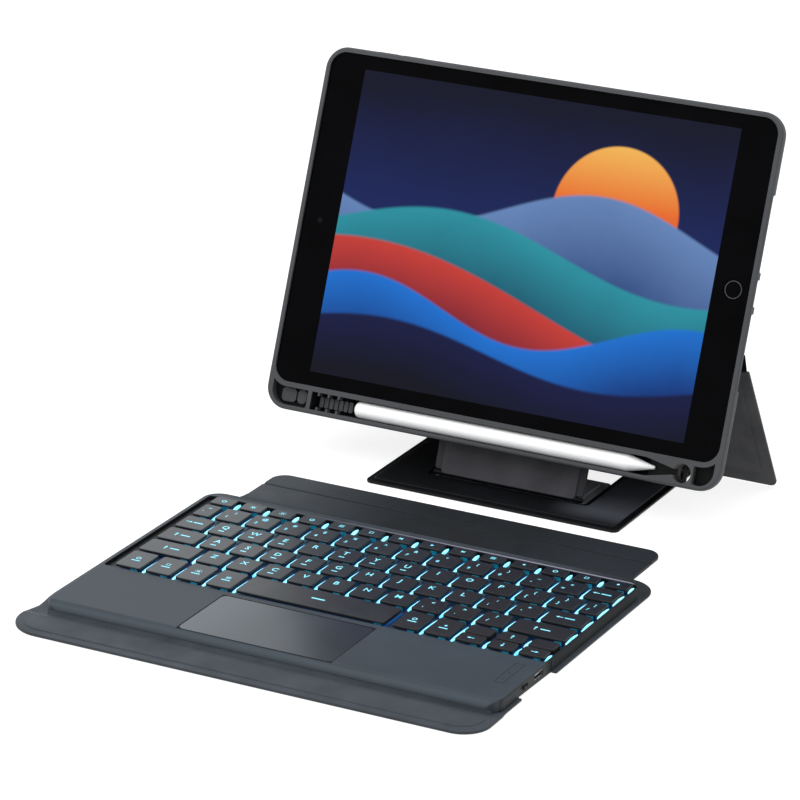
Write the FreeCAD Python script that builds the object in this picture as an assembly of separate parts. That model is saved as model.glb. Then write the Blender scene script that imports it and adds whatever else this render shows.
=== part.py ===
import FreeCAD, Part
import math
import os

os.makedirs("parts", exist_ok=True)
V = FreeCAD.Vector

# Sizes are in millimetres and degrees
# Tablet, lying in the tray with its glass at z = 0 of the tray frame
tablet_width = 250.6
tablet_height = 174.1
tablet_depth = 7.5
tablet_corner = 10.4
tablet_round = 6.0
shell_wall = 1.2
glass_depth = 0.9
screen_side = 21.4
screen_end = 9.1
screen_depth = 0.4
home_edge = 10.6
home_radius = 5.1
home_depth = 0.8
home_inset = 0.2
home_clear = 0.15
front_camera_edge = 11.4
front_camera_y = -1.4
front_camera_radius = 1.4
lens_clear = 0.02
rear_camera_inset = 12.5
rear_camera_radius = 4.0
rear_camera_proud = 0.8
camera_hole_radius = 7.0
tablet_cell_side = 27.3
tablet_cell_end = 27.05
tablet_cell_depth = 4.0
tablet_cell_gap = 4.0

# Tray, a soft shell round the tablet
tablet_clear = 0.1
tray_wall = 0.7
tray_floor = 2.3
tray_corner = 11.6
tray_front_round = 1.2
tray_back_round = 8.0
lip_over = 1.8
lip_depth = 1.2
lip_clear = 0.1
divider_wall = 0.7
band_wall = 2.4
slot_left_edge = 26.1
slot_right_edge = 39.6
slot_floor_round = 4.0
slot_taper_edge = 23.1
slot_taper_height = 2.4
slot_taper_depth = 6.6
finger_hole_edge = 19.9
finger_hole_radius = 4.8
finger_bar_width = 1.4
finger_bar_depth = 2.0
pocket_edge = 3.4
pocket_depth = 6.0
pocket_round = 7.5
pocket_small_round = 1.2
pocket_rise = 3.0
left_pocket_edge = 23.9
right_pocket_edge = 14.1
pad_height = 2.6
pad_tall = 7.0
pad_lift = 0.7
pad_narrow = 5.1
pad_wide = 8.2
pad_gap = 2.0
pad_split = 0.8
pad_round = 2.2
rib_edge = 30.1
rib_pitch = 5.7
rib_count = 3
rib_width = 1.0
rib_height = 1.7
rib_depth = 3.6
cushion_count = 7
cushion_width = 2.2
cushion_span = 5.4
cushion_pitch = 2.8
cushion_height = 4.4
port_half = 6.7
speaker_start = 10.2
speaker_length = 38.4
opening_reach = 7.0
opening_round = 1.0
front_band = 1.2
jack_edge = 17.85
jack_radius = 3.2

# Button covers in the tray's left and top walls
cover_length = 11.6
cover_height = 2.6
cover_proud = 1.1
volume_proud = 0.3
cover_travel = 0.3
cover_clear = 0.2
power_cover_edge = 21.85
volume_edge = 32.1
volume_pitch = 14.5

# Stylus
stylus_radius = 4.45
stylus_clear = 0.15
stylus_inset = 0.4
stylus_behind = 24.0
stylus_past = 3.5
stylus_tip = 14.5
stylus_tip_radius = 0.8
stylus_end_round = 3.2

# Back of the tray
board_depth = 2.2
skin_depth = 0.7
skin_inset = 8.4
board_inset = 10.4
leaf_below = 1.0
leaf_above = 7.0
leaf_slant = 2.6

# Easel
tilt = 21.4
leg_lean = 30.6
leg_length = 85.0
leg_half = 124.8
leg_depth = 2.4
leg_corner = 4.0
leg_top_corner = 1.0
leg_board_depth = 1.2
leg_board_inset = 6.0
leg_foot_over = 3.6
leg_hinge_below = 37.2
roll_radius = 1.2
roll_clear = 0.3
roll_web = 0.5
crease_inset = 7.0
stand_shift = 9.5
base_half = 69.2
base_depth = 2.4
base_corner = 3.5
base_front_depth = 23.2
base_rear_over = 2.2
base_rear_bar = 15.0
base_board_depth = 1.2
base_board_inset = 4.0
window_round = 2.0
window_clear = 0.6
window_edge = 1.0
flap_depth = 33.0
flap_thickness = 2.0
flap_gap = 0.2
base_leg_clear = 0.6
riser_half = 41.3
riser_height = 32.0
riser_depth = 2.6
riser_sheet = 1.7
riser_margin = 3.4
riser_corner = 1.5
riser_clear = 0.4
riser_board_depth = 1.2
riser_board_inset = 2.0

# Keyboard, as laid out from back to front
keyboard_shift = 3.6
dock_gap = 13.4
dock_edge_depth = 15.6
strip_depth = 20.4
strip_side = 16.5
strip_shift = 1.5
strip_thickness = 1.8
strip_corner = 8.0
strip_float = 0.05
magnet_length = 30.0
magnet_width = 7.0
magnet_depth = 0.9
magnet_count = 4
magnet_pitch = 52.0
thin_roll = 0.9
thin_web = 0.3
rear_flange = 16.0
cover_half = 123.0
cover_depth = 1.0
cover_corner = 15.0
deck_left_flange = 7.6
deck_right_flange = 2.6
deck_depth = 154.1
deck_top = 7.0
deck_wall = 1.6
deck_plate = 1.4
deck_corner = 7.0
deck_edge_round = 1.4
deck_front_round = 4.2
lower_case_depth = 0.8
front_flange = 0.8
flap_length = 22.4
flap_plate = 1.8
flap_float = 0.2
flap_corner = 18.5
notch_rear = 98.9
notch_length = 33.4
notch_clear = 0.3

# Keys
keys_across = 13.642
key_gap = 2.95
keys_left_margin = 7.5
keys_right_margin = 2.8
row_pitch = 16.96
row_gap = 2.9
first_row_inset = 4.4
function_depth = 8.2
function_width = 12.0
function_count = 14
bottom_depth = 18.8
number_first_share = 0.741
upper_first_share = 1.08
home_first_share = 1.4005
lower_first_share = 1.8785
number_count = 12
upper_count = 12
home_count = 11
lower_count = 10
left_modifier_share = 0.9921
left_modifier_count = 4
space_gap = 4.25
right_bottom_share = 0.974
right_bottom_count = 5
right_bottom_gap = 3.2
arrow_split = 1.2
key_top = 8.0
cap_depth = 1.3
cap_corner = 1.3
cap_round = 0.35
key_travel = 1.2
key_clear = 0.2
stem_width = 5.0
stem_share = 3.0
stem_reach = 0.6
stem_clear = 0.3
dome_radius = 1.8
dome_height = 0.3
well_side = 5.4
well_end = 1.8
well_round = 2.0
plate_lap = 1.2
key_plate_depth = 0.6
dome_sheet_depth = 0.4
guide_depth = 0.8
guide_rim = 0.9

# Palm rest and what lies under it
trackpad_width = 80.0
trackpad_centre = -4.9
trackpad_depth = 42.9
trackpad_behind = 5.9
trackpad_thickness = 1.9
trackpad_inset = 0.1
trackpad_corner = 3.0
trackpad_clear = 0.3
trackpad_travel = 0.3
bracket_inset = 4.0
cell_end_gap = 7.9
cell_side = 5.0
cell_thickness = 2.8
cell_inset = 1.5
board_gap = 3.0
board_width = 19.5
board_thickness = 0.6
port_width = 8.9
port_thickness = 2.9
port_length = 7.0
port_wall = 0.3
port_back = 111.5
port_setback = 0.3
port_hole_clear = 0.15
tongue_width = 6.4
tongue_thickness = 0.7
switch_back = 128.0
switch_length = 2.4
switch_height = 1.5
switch_travel = 2.4
switch_clear = 0.2
switch_proud = 0.6
switch_reach = 2.4
light_radius = 0.7
light_edge = 9.8
light_back = 115.0
light_pitch = 7.2
light_count = 3

# Heights of the tray's layers, in the tray frame
pocket_x = tablet_width / 2 + tablet_clear
pocket_y = tablet_height / 2 + tablet_clear
tray_x = pocket_x + tray_wall
tray_top = pocket_y + tray_wall
tray_front = lip_clear + lip_depth
pocket_floor = -(tablet_depth + tablet_clear)
tray_back = pocket_floor - tray_floor
back_face = tray_back - board_depth - skin_depth
slot_top = -(pocket_y + divider_wall)
slot_y = slot_top - stylus_clear - stylus_radius
slot_bottom = slot_y - stylus_radius - stylus_clear
tray_bottom = slot_bottom - band_wall
stylus_z = tray_front - stylus_inset - stylus_radius
slot_floor = stylus_z - stylus_radius - stylus_clear
middle_z = -tablet_depth / 2
camera_x = -(tablet_width / 2 - rear_camera_inset)
camera_y = tablet_height / 2 - rear_camera_inset
hinge_z = back_face - roll_clear - roll_radius

# Places across the tablet and the tray, from their edges
screen_width = tablet_width - 2 * screen_side
screen_height = tablet_height - 2 * screen_end
home_x = tablet_width / 2 - home_edge
front_camera_x = front_camera_edge - tablet_width / 2
tablet_cell_width = tablet_width / 2 - tablet_cell_side - tablet_cell_gap / 2
tablet_cell_height = tablet_height - 2 * tablet_cell_end
slot_left = slot_left_edge - tray_x
slot_right = tray_x - slot_right_edge
slot_taper_end = tray_x - slot_taper_edge
finger_hole_x = tray_x - finger_hole_edge
left_pocket_end = left_pocket_edge - tray_x
right_pocket_start = tray_x - right_pocket_edge
rib_first = rib_edge - tray_x
jack_y = jack_edge - tray_top
power_cover_y = tray_top - power_cover_edge
volume_first_x = volume_edge - tray_x
stylus_left = slot_left + stylus_behind
stylus_barrel = slot_right + stylus_past - stylus_tip - stylus_left

# Where the easel's axes stand, with the screen's centre over y = 0
sin_tilt = math.sin(math.radians(tilt))
cos_tilt = math.cos(math.radians(tilt))
sin_lean = math.sin(math.radians(leg_lean))
cos_lean = math.cos(math.radians(leg_lean))
foot_z = base_depth + roll_clear + roll_radius
leg_top_z = foot_z + leg_length * cos_lean
leg_top_y = -leg_hinge_below * sin_tilt - hinge_z * cos_tilt
foot_y = leg_top_y + leg_length * sin_lean
centre_z = leg_top_z + leg_hinge_below * cos_tilt - hinge_z * sin_tilt
riser_z = foot_z
riser_off = riser_clear + riser_depth / 2 - back_face
riser_y = (riser_z - centre_z) * sin_tilt / cos_tilt + riser_off / cos_tilt
base_front = riser_y - base_front_depth

# Keyboard lines from back to front, and heights
dock_rear = base_front - dock_gap
crease_y = dock_rear - dock_edge_depth
cover_rear = crease_y - strip_depth
deck_rear = cover_rear - rear_flange
deck_front = deck_rear - deck_depth
cover_front = deck_front - front_flange
flap_y = cover_front - thin_roll - thin_web
flap_z = flap_float + flap_plate / 2
flap_front = flap_y - flap_length
dock_z = strip_float + strip_thickness / 2
case_floor = cover_depth + lower_case_depth
plate_top = case_floor + key_plate_depth
sheet_top = plate_top + dome_sheet_depth
guide_top = key_top - cap_depth - key_travel - key_clear
strip_half = cover_half - strip_side
deck_left = deck_left_flange - cover_half
deck_right = cover_half - deck_right_flange
keys_left = deck_left + keys_left_margin
keys_right = deck_right - keys_right_margin
key_pitch = (keys_right - keys_left) / keys_across
number_first = number_first_share * key_pitch - key_gap
upper_first = upper_first_share * key_pitch - key_gap
home_first = home_first_share * key_pitch - key_gap
lower_first = lower_first_share * key_pitch - key_gap
left_pitch = left_modifier_share * key_pitch
right_pitch = right_bottom_share * key_pitch
space_left = keys_left + left_modifier_count * left_pitch
right_bottom_start = keys_right + right_bottom_gap - right_bottom_count * right_pitch
space_right = right_bottom_start - space_gap
light_x = deck_right - light_edge
board_right = deck_right - deck_wall - key_clear
board_left = board_right - board_width
well_left = keys_left - well_side
well_right = keys_right + well_end
row_depth = row_pitch - row_gap
key_width = key_pitch - key_gap
first_row = deck_rear - first_row_inset
bottom_front = first_row - function_depth - 4 * row_pitch - row_gap - bottom_depth
well_rear = first_row + well_end
well_front = bottom_front - well_end
pad_rear = bottom_front - trackpad_behind
pad_front = pad_rear - trackpad_depth
pad_left = trackpad_centre - trackpad_width / 2
pad_right = trackpad_centre + trackpad_width / 2
pad_top = deck_top - trackpad_inset

# The part's origin is the middle of its footprint
left_end = -(tray_x + cover_proud)
right_end = keyboard_shift + cover_half
foot_end = foot_y + leg_foot_over * sin_lean + leg_depth / 2 * cos_lean
origin = V((left_end + right_end) / 2, (flap_front + foot_end) / 2, 0)


def slab(x0, x1, y0, y1, z0, z1, r=0.0, axis=V(0, 0, 1)):
    body = Part.makeBox(x1 - x0, y1 - y0, z1 - z0, V(x0, y0, z0))
    if r <= 0:
        return body
    edges = [e for e in body.Edges if abs(e.tangentAt(e.FirstParameter).dot(axis)) > 0.9]
    return body.makeFillet(r, edges)


def level_edges(body, z):
    return [e for e in body.Edges if all(abs(v.Z - z) < 1e-6 for v in e.Vertexes)]


def upright_edges_at(body, y):
    edges = [e for e in body.Edges if abs(e.tangentAt(e.FirstParameter).z) > 0.9]
    return [e for e in edges if abs(e.CenterOfMass.y - y) < 1e-6]


def rod(radius, x0, x1, y, z):
    return Part.makeCylinder(radius, x1 - x0, V(x0, y, z), V(1, 0, 0))


def post(radius, x, y, z0, z1):
    return Part.makeCylinder(radius, z1 - z0, V(x, y, z0), V(0, 0, 1))


def moved(shape, angle, place):
    copy = shape.copy()
    copy.rotate(V(0, 0, 0), V(1, 0, 0), angle)
    copy.translate(place)
    return copy


def in_tray(shape):
    return moved(shape, 90 - tilt, V(0, 0, centre_z))


def on_leg(shape):
    return moved(shape, 90 + leg_lean, V(0, foot_y, foot_z))


def on_riser(shape):
    return moved(shape, 90 - tilt, V(stand_shift, riser_y, riser_z))


def on_stand(shape):
    return moved(shape, 0, V(stand_shift, 0, 0))


def on_keyboard(shape):
    return moved(shape, 0, V(keyboard_shift, 0, 0))


def make_tablet():
    half_x = tablet_width / 2
    half_y = tablet_height / 2
    shell = slab(-half_x, half_x, -half_y, half_y, -tablet_depth, -glass_depth, tablet_corner)
    shell = shell.makeFillet(tablet_round, level_edges(shell, -tablet_depth))
    inner_x = half_x - shell_wall
    inner_y = half_y - shell_wall
    floor = shell_wall - tablet_depth
    hollow = slab(-inner_x, inner_x, -inner_y, inner_y, floor, 0, tablet_corner - shell_wall)
    hollow = hollow.makeFillet(tablet_round - shell_wall, level_edges(hollow, floor))
    shell = shell.cut(hollow)
    glass = slab(-half_x, half_x, -half_y, half_y, -glass_depth, 0, tablet_corner)
    screen = slab(-screen_width / 2, screen_width / 2, -screen_height / 2, screen_height / 2,
                  -screen_depth, 0)
    home_bottom = -home_inset - home_depth
    button = post(home_radius, home_x, 0, home_bottom, -home_inset)
    lens = post(front_camera_radius, front_camera_x, front_camera_y, -glass_depth, 0)
    glass = glass.cut(screen)
    glass = glass.cut(post(home_radius + home_clear, home_x, 0, -glass_depth, 0))
    lens_hole = front_camera_radius + lens_clear
    glass = glass.cut(post(lens_hole, front_camera_x, front_camera_y, -glass_depth, 0))
    cells = []
    for side in (-1, 1):
        middle = side * (tablet_cell_width + tablet_cell_gap) / 2
        cells.append(slab(middle - tablet_cell_width / 2, middle + tablet_cell_width / 2,
                          -tablet_cell_height / 2, tablet_cell_height / 2,
                          floor, floor + tablet_cell_depth))
    rear_lens = post(rear_camera_radius, camera_x, camera_y,
                     -tablet_depth - rear_camera_proud, -tablet_depth)
    return {
        "tablet_shell": shell,
        "tablet_battery": Part.makeCompound(cells),
        "tablet_glass": glass,
        "tablet_screen": screen,
        "home_button": button,
        "front_camera": lens,
        "rear_camera": rear_lens,
    }


def stylus_slot():
    slot = slab(slot_left, slot_right, slot_bottom, slot_top, slot_floor, tray_front + 1)
    sides = [e for e in level_edges(slot, slot_floor) if abs(e.tangentAt(e.FirstParameter).x) > 0.9]
    slot = slot.makeFillet(slot_floor_round, sides)
    deep = tray_front - slot_taper_depth
    low = slot_y - slot_taper_height / 2
    high = slot_y + slot_taper_height / 2
    line = [V(slot_right - 1, slot_bottom, deep), V(slot_right, slot_bottom, deep), V(slot_taper_end, low, deep),
            V(slot_taper_end, high, deep), V(slot_right, slot_top, deep), V(slot_right - 1, slot_top, deep)]
    taper = Part.Face(Part.makePolygon(line + line[:1])).extrude(V(0, 0, slot_taper_depth + 1))
    return slot.fuse(taper)


def corner_pocket(inner_x, outer_x):
    deep = tray_front - pocket_depth
    hollow = slab(min(inner_x, outer_x), max(inner_x, outer_x), slot_bottom, slot_top + pocket_rise,
                  deep, tray_front + 1)
    for x, radius in ((outer_x, pocket_round), (inner_x, pocket_small_round)):
        edges = [e for e in upright_edges_at(hollow, slot_bottom) if abs(e.CenterOfMass.x - x) < 1e-6]
        hollow = hollow.makeFillet(radius, edges)
    kept_x = pocket_x + divider_wall
    kept_y = pocket_y + divider_wall
    return hollow.cut(slab(-kept_x, kept_x, -kept_y, kept_y, deep - 1, tray_front + 2,
                           tablet_corner + tablet_clear + divider_wall))


def make_band_features(shell):
    hole = post(finger_hole_radius, finger_hole_x, slot_y, tray_back - 1, tray_front + 1)
    deep = tray_front - pocket_depth
    outer = tray_x - pocket_edge
    left = corner_pocket(left_pocket_end, -outer)
    right = corner_pocket(right_pocket_start, outer)
    for hollow in (stylus_slot(), hole, left, right):
        shell = shell.cut(hollow)
    bar_z = (tray_back + tray_front) / 2
    bar = slab(finger_hole_x - finger_bar_width / 2, finger_hole_x + finger_bar_width / 2,
               slot_bottom - band_wall / 2, slot_top + divider_wall / 2,
               bar_z - finger_bar_depth / 2, bar_z + finger_bar_depth / 2)
    shell = shell.fuse(bar)
    pad_low = slot_y + pad_lift - pad_tall / 2
    end = left_pocket_end - pad_gap
    for width in (pad_narrow, pad_wide):
        pad = slab(end - width, end, pad_low, pad_low + pad_tall, deep - 0.5, deep + pad_height, pad_round)
        shell = shell.fuse(pad)
        end -= width + pad_split
    rib_back = tray_front - rib_depth
    for i in range(rib_count):
        x = rib_first + i * rib_pitch
        upper = slab(x - rib_width / 2, x + rib_width / 2, slot_top - rib_height,
                     slot_top + divider_wall / 2, rib_back, tray_front)
        lower = slab(x - rib_width / 2, x + rib_width / 2, slot_bottom - band_wall / 2,
                     slot_bottom + rib_height, rib_back, tray_front)
        shell = shell.fuse(upper)
        shell = shell.fuse(lower)
    for i in range(cushion_count):
        x = rib_first + i * cushion_pitch
        cushion = slab(x - cushion_width / 2, x + cushion_width / 2, slot_y - cushion_span / 2,
                       slot_y + cushion_span / 2, slot_floor - 0.5, slot_floor + cushion_height, cushion_width / 3)
        shell = shell.fuse(cushion)
    return shell


def cover_hole_left():
    half = cover_length / 2 + cover_clear
    high = cover_height / 2 + cover_clear
    return slab(-tray_x - 1, -pocket_x + 1, power_cover_y - half, power_cover_y + half,
                middle_z - high, middle_z + high, high * 0.6, V(1, 0, 0))


def cover_hole_top(x):
    half = cover_length / 2 + cover_clear
    high = cover_height / 2 + cover_clear
    return slab(x - half, x + half, pocket_y - 1, tray_top + 1,
                middle_z - high, middle_z + high, high * 0.6, V(0, 1, 0))


def make_tray():
    shell = slab(-tray_x, tray_x, tray_bottom, tray_top, tray_back, tray_front, tray_corner)
    shell = shell.makeFillet(tray_front_round, level_edges(shell, tray_front))
    shell = shell.makeFillet(tray_back_round, level_edges(shell, tray_back))
    hollow = slab(-pocket_x, pocket_x, -pocket_y, pocket_y, pocket_floor, lip_clear,
                  tablet_corner + tablet_clear)
    shell = shell.cut(hollow.makeFillet(tablet_round + tablet_clear, level_edges(hollow, pocket_floor)))
    mouth_x = tablet_width / 2 - lip_over
    mouth_y = tablet_height / 2 - lip_over
    shell = shell.cut(slab(-mouth_x, mouth_x, -mouth_y, mouth_y, 0, tray_front + 1,
                           tablet_corner - lip_over))
    shell = make_band_features(shell)
    speaker_end = speaker_start + speaker_length
    for low, high in ((-port_half, port_half), (speaker_start, speaker_end), (-speaker_end, -speaker_start)):
        shell = shell.cut(slab(pocket_x - opening_reach, tray_x + 1, low, high, tray_back - 2, -front_band,
                               opening_round, V(1, 0, 0)))
    shell = shell.cut(rod(jack_radius, -tray_x - 1, -pocket_x + 1, jack_y, middle_z))
    shell = shell.cut(cover_hole_left())
    for i in range(2):
        shell = shell.cut(cover_hole_top(volume_first_x + i * volume_pitch))
    camera_hole = post(camera_hole_radius, camera_x, camera_y, back_face - 1, pocket_floor + 1)
    shell = shell.cut(camera_hole)
    board = slab(-(tray_x - board_inset), tray_x - board_inset, tray_bottom + board_inset,
                 tray_top - board_inset, tray_back - board_depth, tray_back, tray_corner - board_inset)
    board = board.cut(camera_hole)
    skin = slab(-(tray_x - skin_inset), tray_x - skin_inset, tray_bottom + skin_inset,
                tray_top - skin_inset, back_face, tray_back, tray_corner - skin_inset)
    skin = skin.makeFillet(skin_depth, level_edges(skin, back_face))
    low = -leg_hinge_below - leaf_below
    high = -leg_hinge_below + leaf_above
    line = [V(-leg_half, low, back_face), V(leg_half, low, back_face), V(leg_half - leaf_slant, high, back_face),
            V(leaf_slant - leg_half, high, back_face)]
    skin = skin.fuse(Part.Face(Part.makePolygon(line + line[:1])).extrude(V(0, 0, skin_depth)))
    skin = skin.cut(board)
    skin = skin.cut(camera_hole)
    reach = leg_half - crease_inset
    crease = rod(roll_radius, -reach, reach, -leg_hinge_below, hinge_z)
    crease = crease.fuse(slab(-reach, reach, -leg_hinge_below - roll_web, -leg_hinge_below + roll_web,
                              hinge_z, back_face))
    return {
        "tray_shell": shell,
        "back_board": board,
        "back_skin": skin,
        "leg_top_crease": crease,
    }


def make_covers():
    half = cover_length / 2
    high = cover_height / 2
    inner = cover_travel + cover_clear
    power = slab(-tray_x - cover_proud, -pocket_x - inner + tablet_clear, power_cover_y - half,
                 power_cover_y + half, middle_z - high, middle_z + high, high * 0.6, V(1, 0, 0))
    covers = {"power_cover": power}
    for i, name in enumerate(("volume_up_cover", "volume_down_cover")):
        x = volume_first_x + i * volume_pitch
        covers[name] = slab(x - half, x + half, pocket_y + inner - tablet_clear, tray_top + volume_proud,
                            middle_z - high, middle_z + high, high * 0.6, V(0, 1, 0))
    return covers


def make_stylus():
    end = stylus_left + stylus_barrel
    barrel = rod(stylus_radius, stylus_left, end, slot_y, stylus_z)
    rim = [e for e in barrel.Edges if all(abs(v.X - stylus_left) < 1e-6 for v in e.Vertexes)]
    barrel = barrel.makeFillet(stylus_end_round, rim)
    tip = Part.makeCone(stylus_radius, stylus_tip_radius, stylus_tip, V(end, slot_y, stylus_z), V(1, 0, 0))
    return {"stylus_barrel": barrel, "stylus_tip": tip}


def make_leg():
    top = leg_length - roll_radius - roll_clear
    half = leg_depth / 2
    cover = slab(-leg_half, leg_half, -leg_foot_over, top, -half, half)
    for y, radius in ((-leg_foot_over, leg_corner), (top, leg_top_corner)):
        cover = cover.makeFillet(radius, upright_edges_at(cover, y))
    gap = base_half + base_leg_clear
    cover = cover.cut(slab(stand_shift - gap, stand_shift + gap, -leg_foot_over - 1,
                           roll_radius + roll_clear, -leg_depth, leg_depth))
    reach = leg_half - leg_board_inset
    board = slab(-reach, reach, leg_board_inset, top - leg_board_inset,
                 -leg_board_depth / 2, leg_board_depth / 2)
    return {"leg_cover": cover.cut(board), "leg_board": board}


def make_base():
    rear = foot_y + base_rear_over
    window_half = riser_half + window_clear
    window_front = riser_y + window_edge
    window_rear = foot_y - base_rear_bar
    cover = slab(-base_half, base_half, base_front, rear, 0, base_depth, base_corner)
    cover = cover.cut(slab(-window_half, window_half, window_front, window_rear, -1, base_depth + 1,
                           window_round))
    low = (base_depth - base_board_depth) / 2
    high = low + base_board_depth
    board = slab(-base_half + base_board_inset, base_half - base_board_inset,
                 base_front + base_board_inset, rear - base_board_inset, low, high)
    board = board.cut(slab(-window_half - base_board_inset, window_half + base_board_inset,
                           window_front - base_board_inset, window_rear + base_board_inset,
                           low - 1, high + 1))
    flap_half = window_half - flap_gap
    flap = slab(-flap_half, flap_half, window_front, window_front + flap_depth, 0, flap_thickness)
    foot = rod(roll_radius, -base_half, base_half, foot_y, foot_z)
    foot = foot.fuse(slab(-base_half, base_half, foot_y - roll_web, foot_y + roll_web,
                          base_depth, foot_z))
    crease = rod(roll_radius, -riser_half, riser_half, riser_y, riser_z)
    crease = crease.fuse(slab(-riser_half, riser_half, riser_y - roll_web, riser_y + roll_web,
                              base_depth, riser_z))
    return {
        "base_cover": cover.cut(board),
        "base_board": board,
        "base_flap": flap,
        "leg_foot_crease": foot,
        "riser_crease": crease,
    }


def make_riser():
    low = roll_radius + roll_clear
    half = riser_depth / 2
    sheet = slab(-riser_half, riser_half, low, riser_height, -half, riser_sheet - half, riser_corner)
    pad_half = riser_half - riser_margin
    pad = slab(-pad_half, pad_half, low + riser_margin, riser_height - riser_margin,
               0, half, riser_corner)
    pad = pad.makeFillet(riser_depth - riser_sheet - 0.1, level_edges(pad, half))
    cover = sheet.fuse(pad)
    reach = pad_half - riser_board_inset
    board = slab(-reach, reach, low + riser_margin + riser_board_inset,
                 riser_height - riser_margin - riser_board_inset,
                 -riser_board_depth / 2, riser_board_depth / 2)
    return {"riser_cover": cover.cut(board), "riser_board": board}


def make_dock():
    left = strip_shift - strip_half
    right = strip_shift + strip_half
    gap = thin_roll + thin_web
    strip = slab(left, right, cover_rear, crease_y - gap, 0, strip_thickness)
    crease = rod(thin_roll, left, right, crease_y, dock_z)
    crease = crease.fuse(slab(left, right, crease_y - gap, crease_y, dock_z - thin_web, dock_z + thin_web))
    low = strip_float
    high = strip_float + strip_thickness
    edge = slab(left, right, crease_y + gap, dock_rear, low, high)
    edge = edge.makeFillet(strip_corner, upright_edges_at(edge, dock_rear))
    middle_y = (crease_y + gap + dock_rear) / 2
    magnets = []
    for i in range(magnet_count):
        x = strip_shift + (i - (magnet_count - 1) / 2) * magnet_pitch
        magnets.append(slab(x - magnet_length / 2, x + magnet_length / 2, middle_y - magnet_width / 2,
                            middle_y + magnet_width / 2, dock_z - magnet_depth / 2,
                            dock_z + magnet_depth / 2))
    magnets = Part.makeCompound(magnets)
    return {
        "strip_cover": strip,
        "strip_crease": crease,
        "dock_edge": edge.cut(magnets),
        "dock_magnets": magnets,
    }


def make_front_flap():
    gap = thin_roll + thin_web
    plate = slab(-cover_half, cover_half, flap_front, flap_y - gap, flap_float, flap_float + flap_plate)
    plate = plate.makeFillet(flap_corner, upright_edges_at(plate, flap_front))
    crease = rod(thin_roll, -cover_half, cover_half, flap_y, flap_z)
    crease = crease.fuse(slab(-cover_half, cover_half, flap_y, cover_front, thin_web, cover_depth))
    return {"front_flap": plate, "flap_crease": crease}


def notch_box():
    rear = deck_rear - notch_rear
    return slab(deck_right - notch_clear, cover_half + 1, rear - notch_length, rear, -1, deck_top + 1)


def port_y():
    return deck_rear - port_back


def switch_y():
    return deck_rear - switch_back


def make_case():
    cover = slab(-cover_half, cover_half, cover_front, cover_rear, 0, cover_depth)
    cover = cover.makeFillet(cover_corner, upright_edges_at(cover, cover_rear))
    cover = cover.cut(notch_box())
    lower = slab(deck_left, deck_right, deck_front, deck_rear, cover_depth, case_floor, deck_corner)
    lower = lower.cut(notch_box())
    deck = slab(deck_left, deck_right, deck_front, deck_rear, case_floor, deck_top, deck_corner)
    deck = deck.makeFillet(deck_edge_round, level_edges(deck, deck_top))
    bull = slab(deck_left - 1, deck_right + 1, deck_front, deck_rear + 1, case_floor, deck_top)
    nose = [e for e in level_edges(bull, deck_top) if abs(e.CenterOfMass.y - deck_front) < 1e-6]
    deck = deck.common(bull.makeFillet(deck_front_round, nose))
    deck = deck.cut(slab(deck_left + deck_wall, deck_right - deck_wall, deck_front + deck_wall,
                         deck_rear - deck_wall, case_floor - 1, deck_top - deck_plate,
                         deck_corner - deck_wall))
    deck = deck.cut(slab(well_left, well_right, well_front, well_rear, case_floor, deck_top + 1, well_round))
    deck = deck.cut(slab(pad_left - trackpad_clear, pad_right + trackpad_clear, pad_front - trackpad_clear,
                         pad_rear + trackpad_clear, case_floor, deck_top + 1,
                         trackpad_corner + trackpad_clear))
    deck = deck.cut(notch_box())
    high = port_thickness / 2 + port_hole_clear
    wide = port_width / 2 + port_hole_clear
    port_z = case_floor + board_thickness + port_thickness / 2
    deck = deck.cut(slab(deck_right - deck_wall - 1, deck_right + 1, port_y() - wide, port_y() + wide,
                         port_z - high, port_z + high, high * 0.9, V(1, 0, 0)))
    travel = switch_travel + switch_length
    deck = deck.cut(slab(deck_right - deck_wall - 1, deck_right + 1, switch_y() - switch_clear,
                         switch_y() + travel + switch_clear, port_z - switch_height / 2 - switch_clear,
                         port_z + switch_height / 2 + switch_clear))
    lights = []
    for i in range(light_count):
        y = deck_rear - light_back - i * light_pitch
        lights.append(post(light_radius, light_x, y, deck_top - deck_plate, deck_top))
        deck = deck.cut(post(light_radius + lens_clear, light_x, y, deck_top - deck_plate - 1, deck_top + 1))
    knob = slab(deck_right - switch_reach, deck_right + switch_proud, switch_y(),
                switch_y() + switch_length, port_z - switch_height / 2, port_z + switch_height / 2)
    return {
        "keyboard_cover": cover,
        "lower_case": lower,
        "keyboard_deck": deck,
        "status_lights": Part.makeCompound(lights),
        "power_switch": knob,
    }


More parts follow.
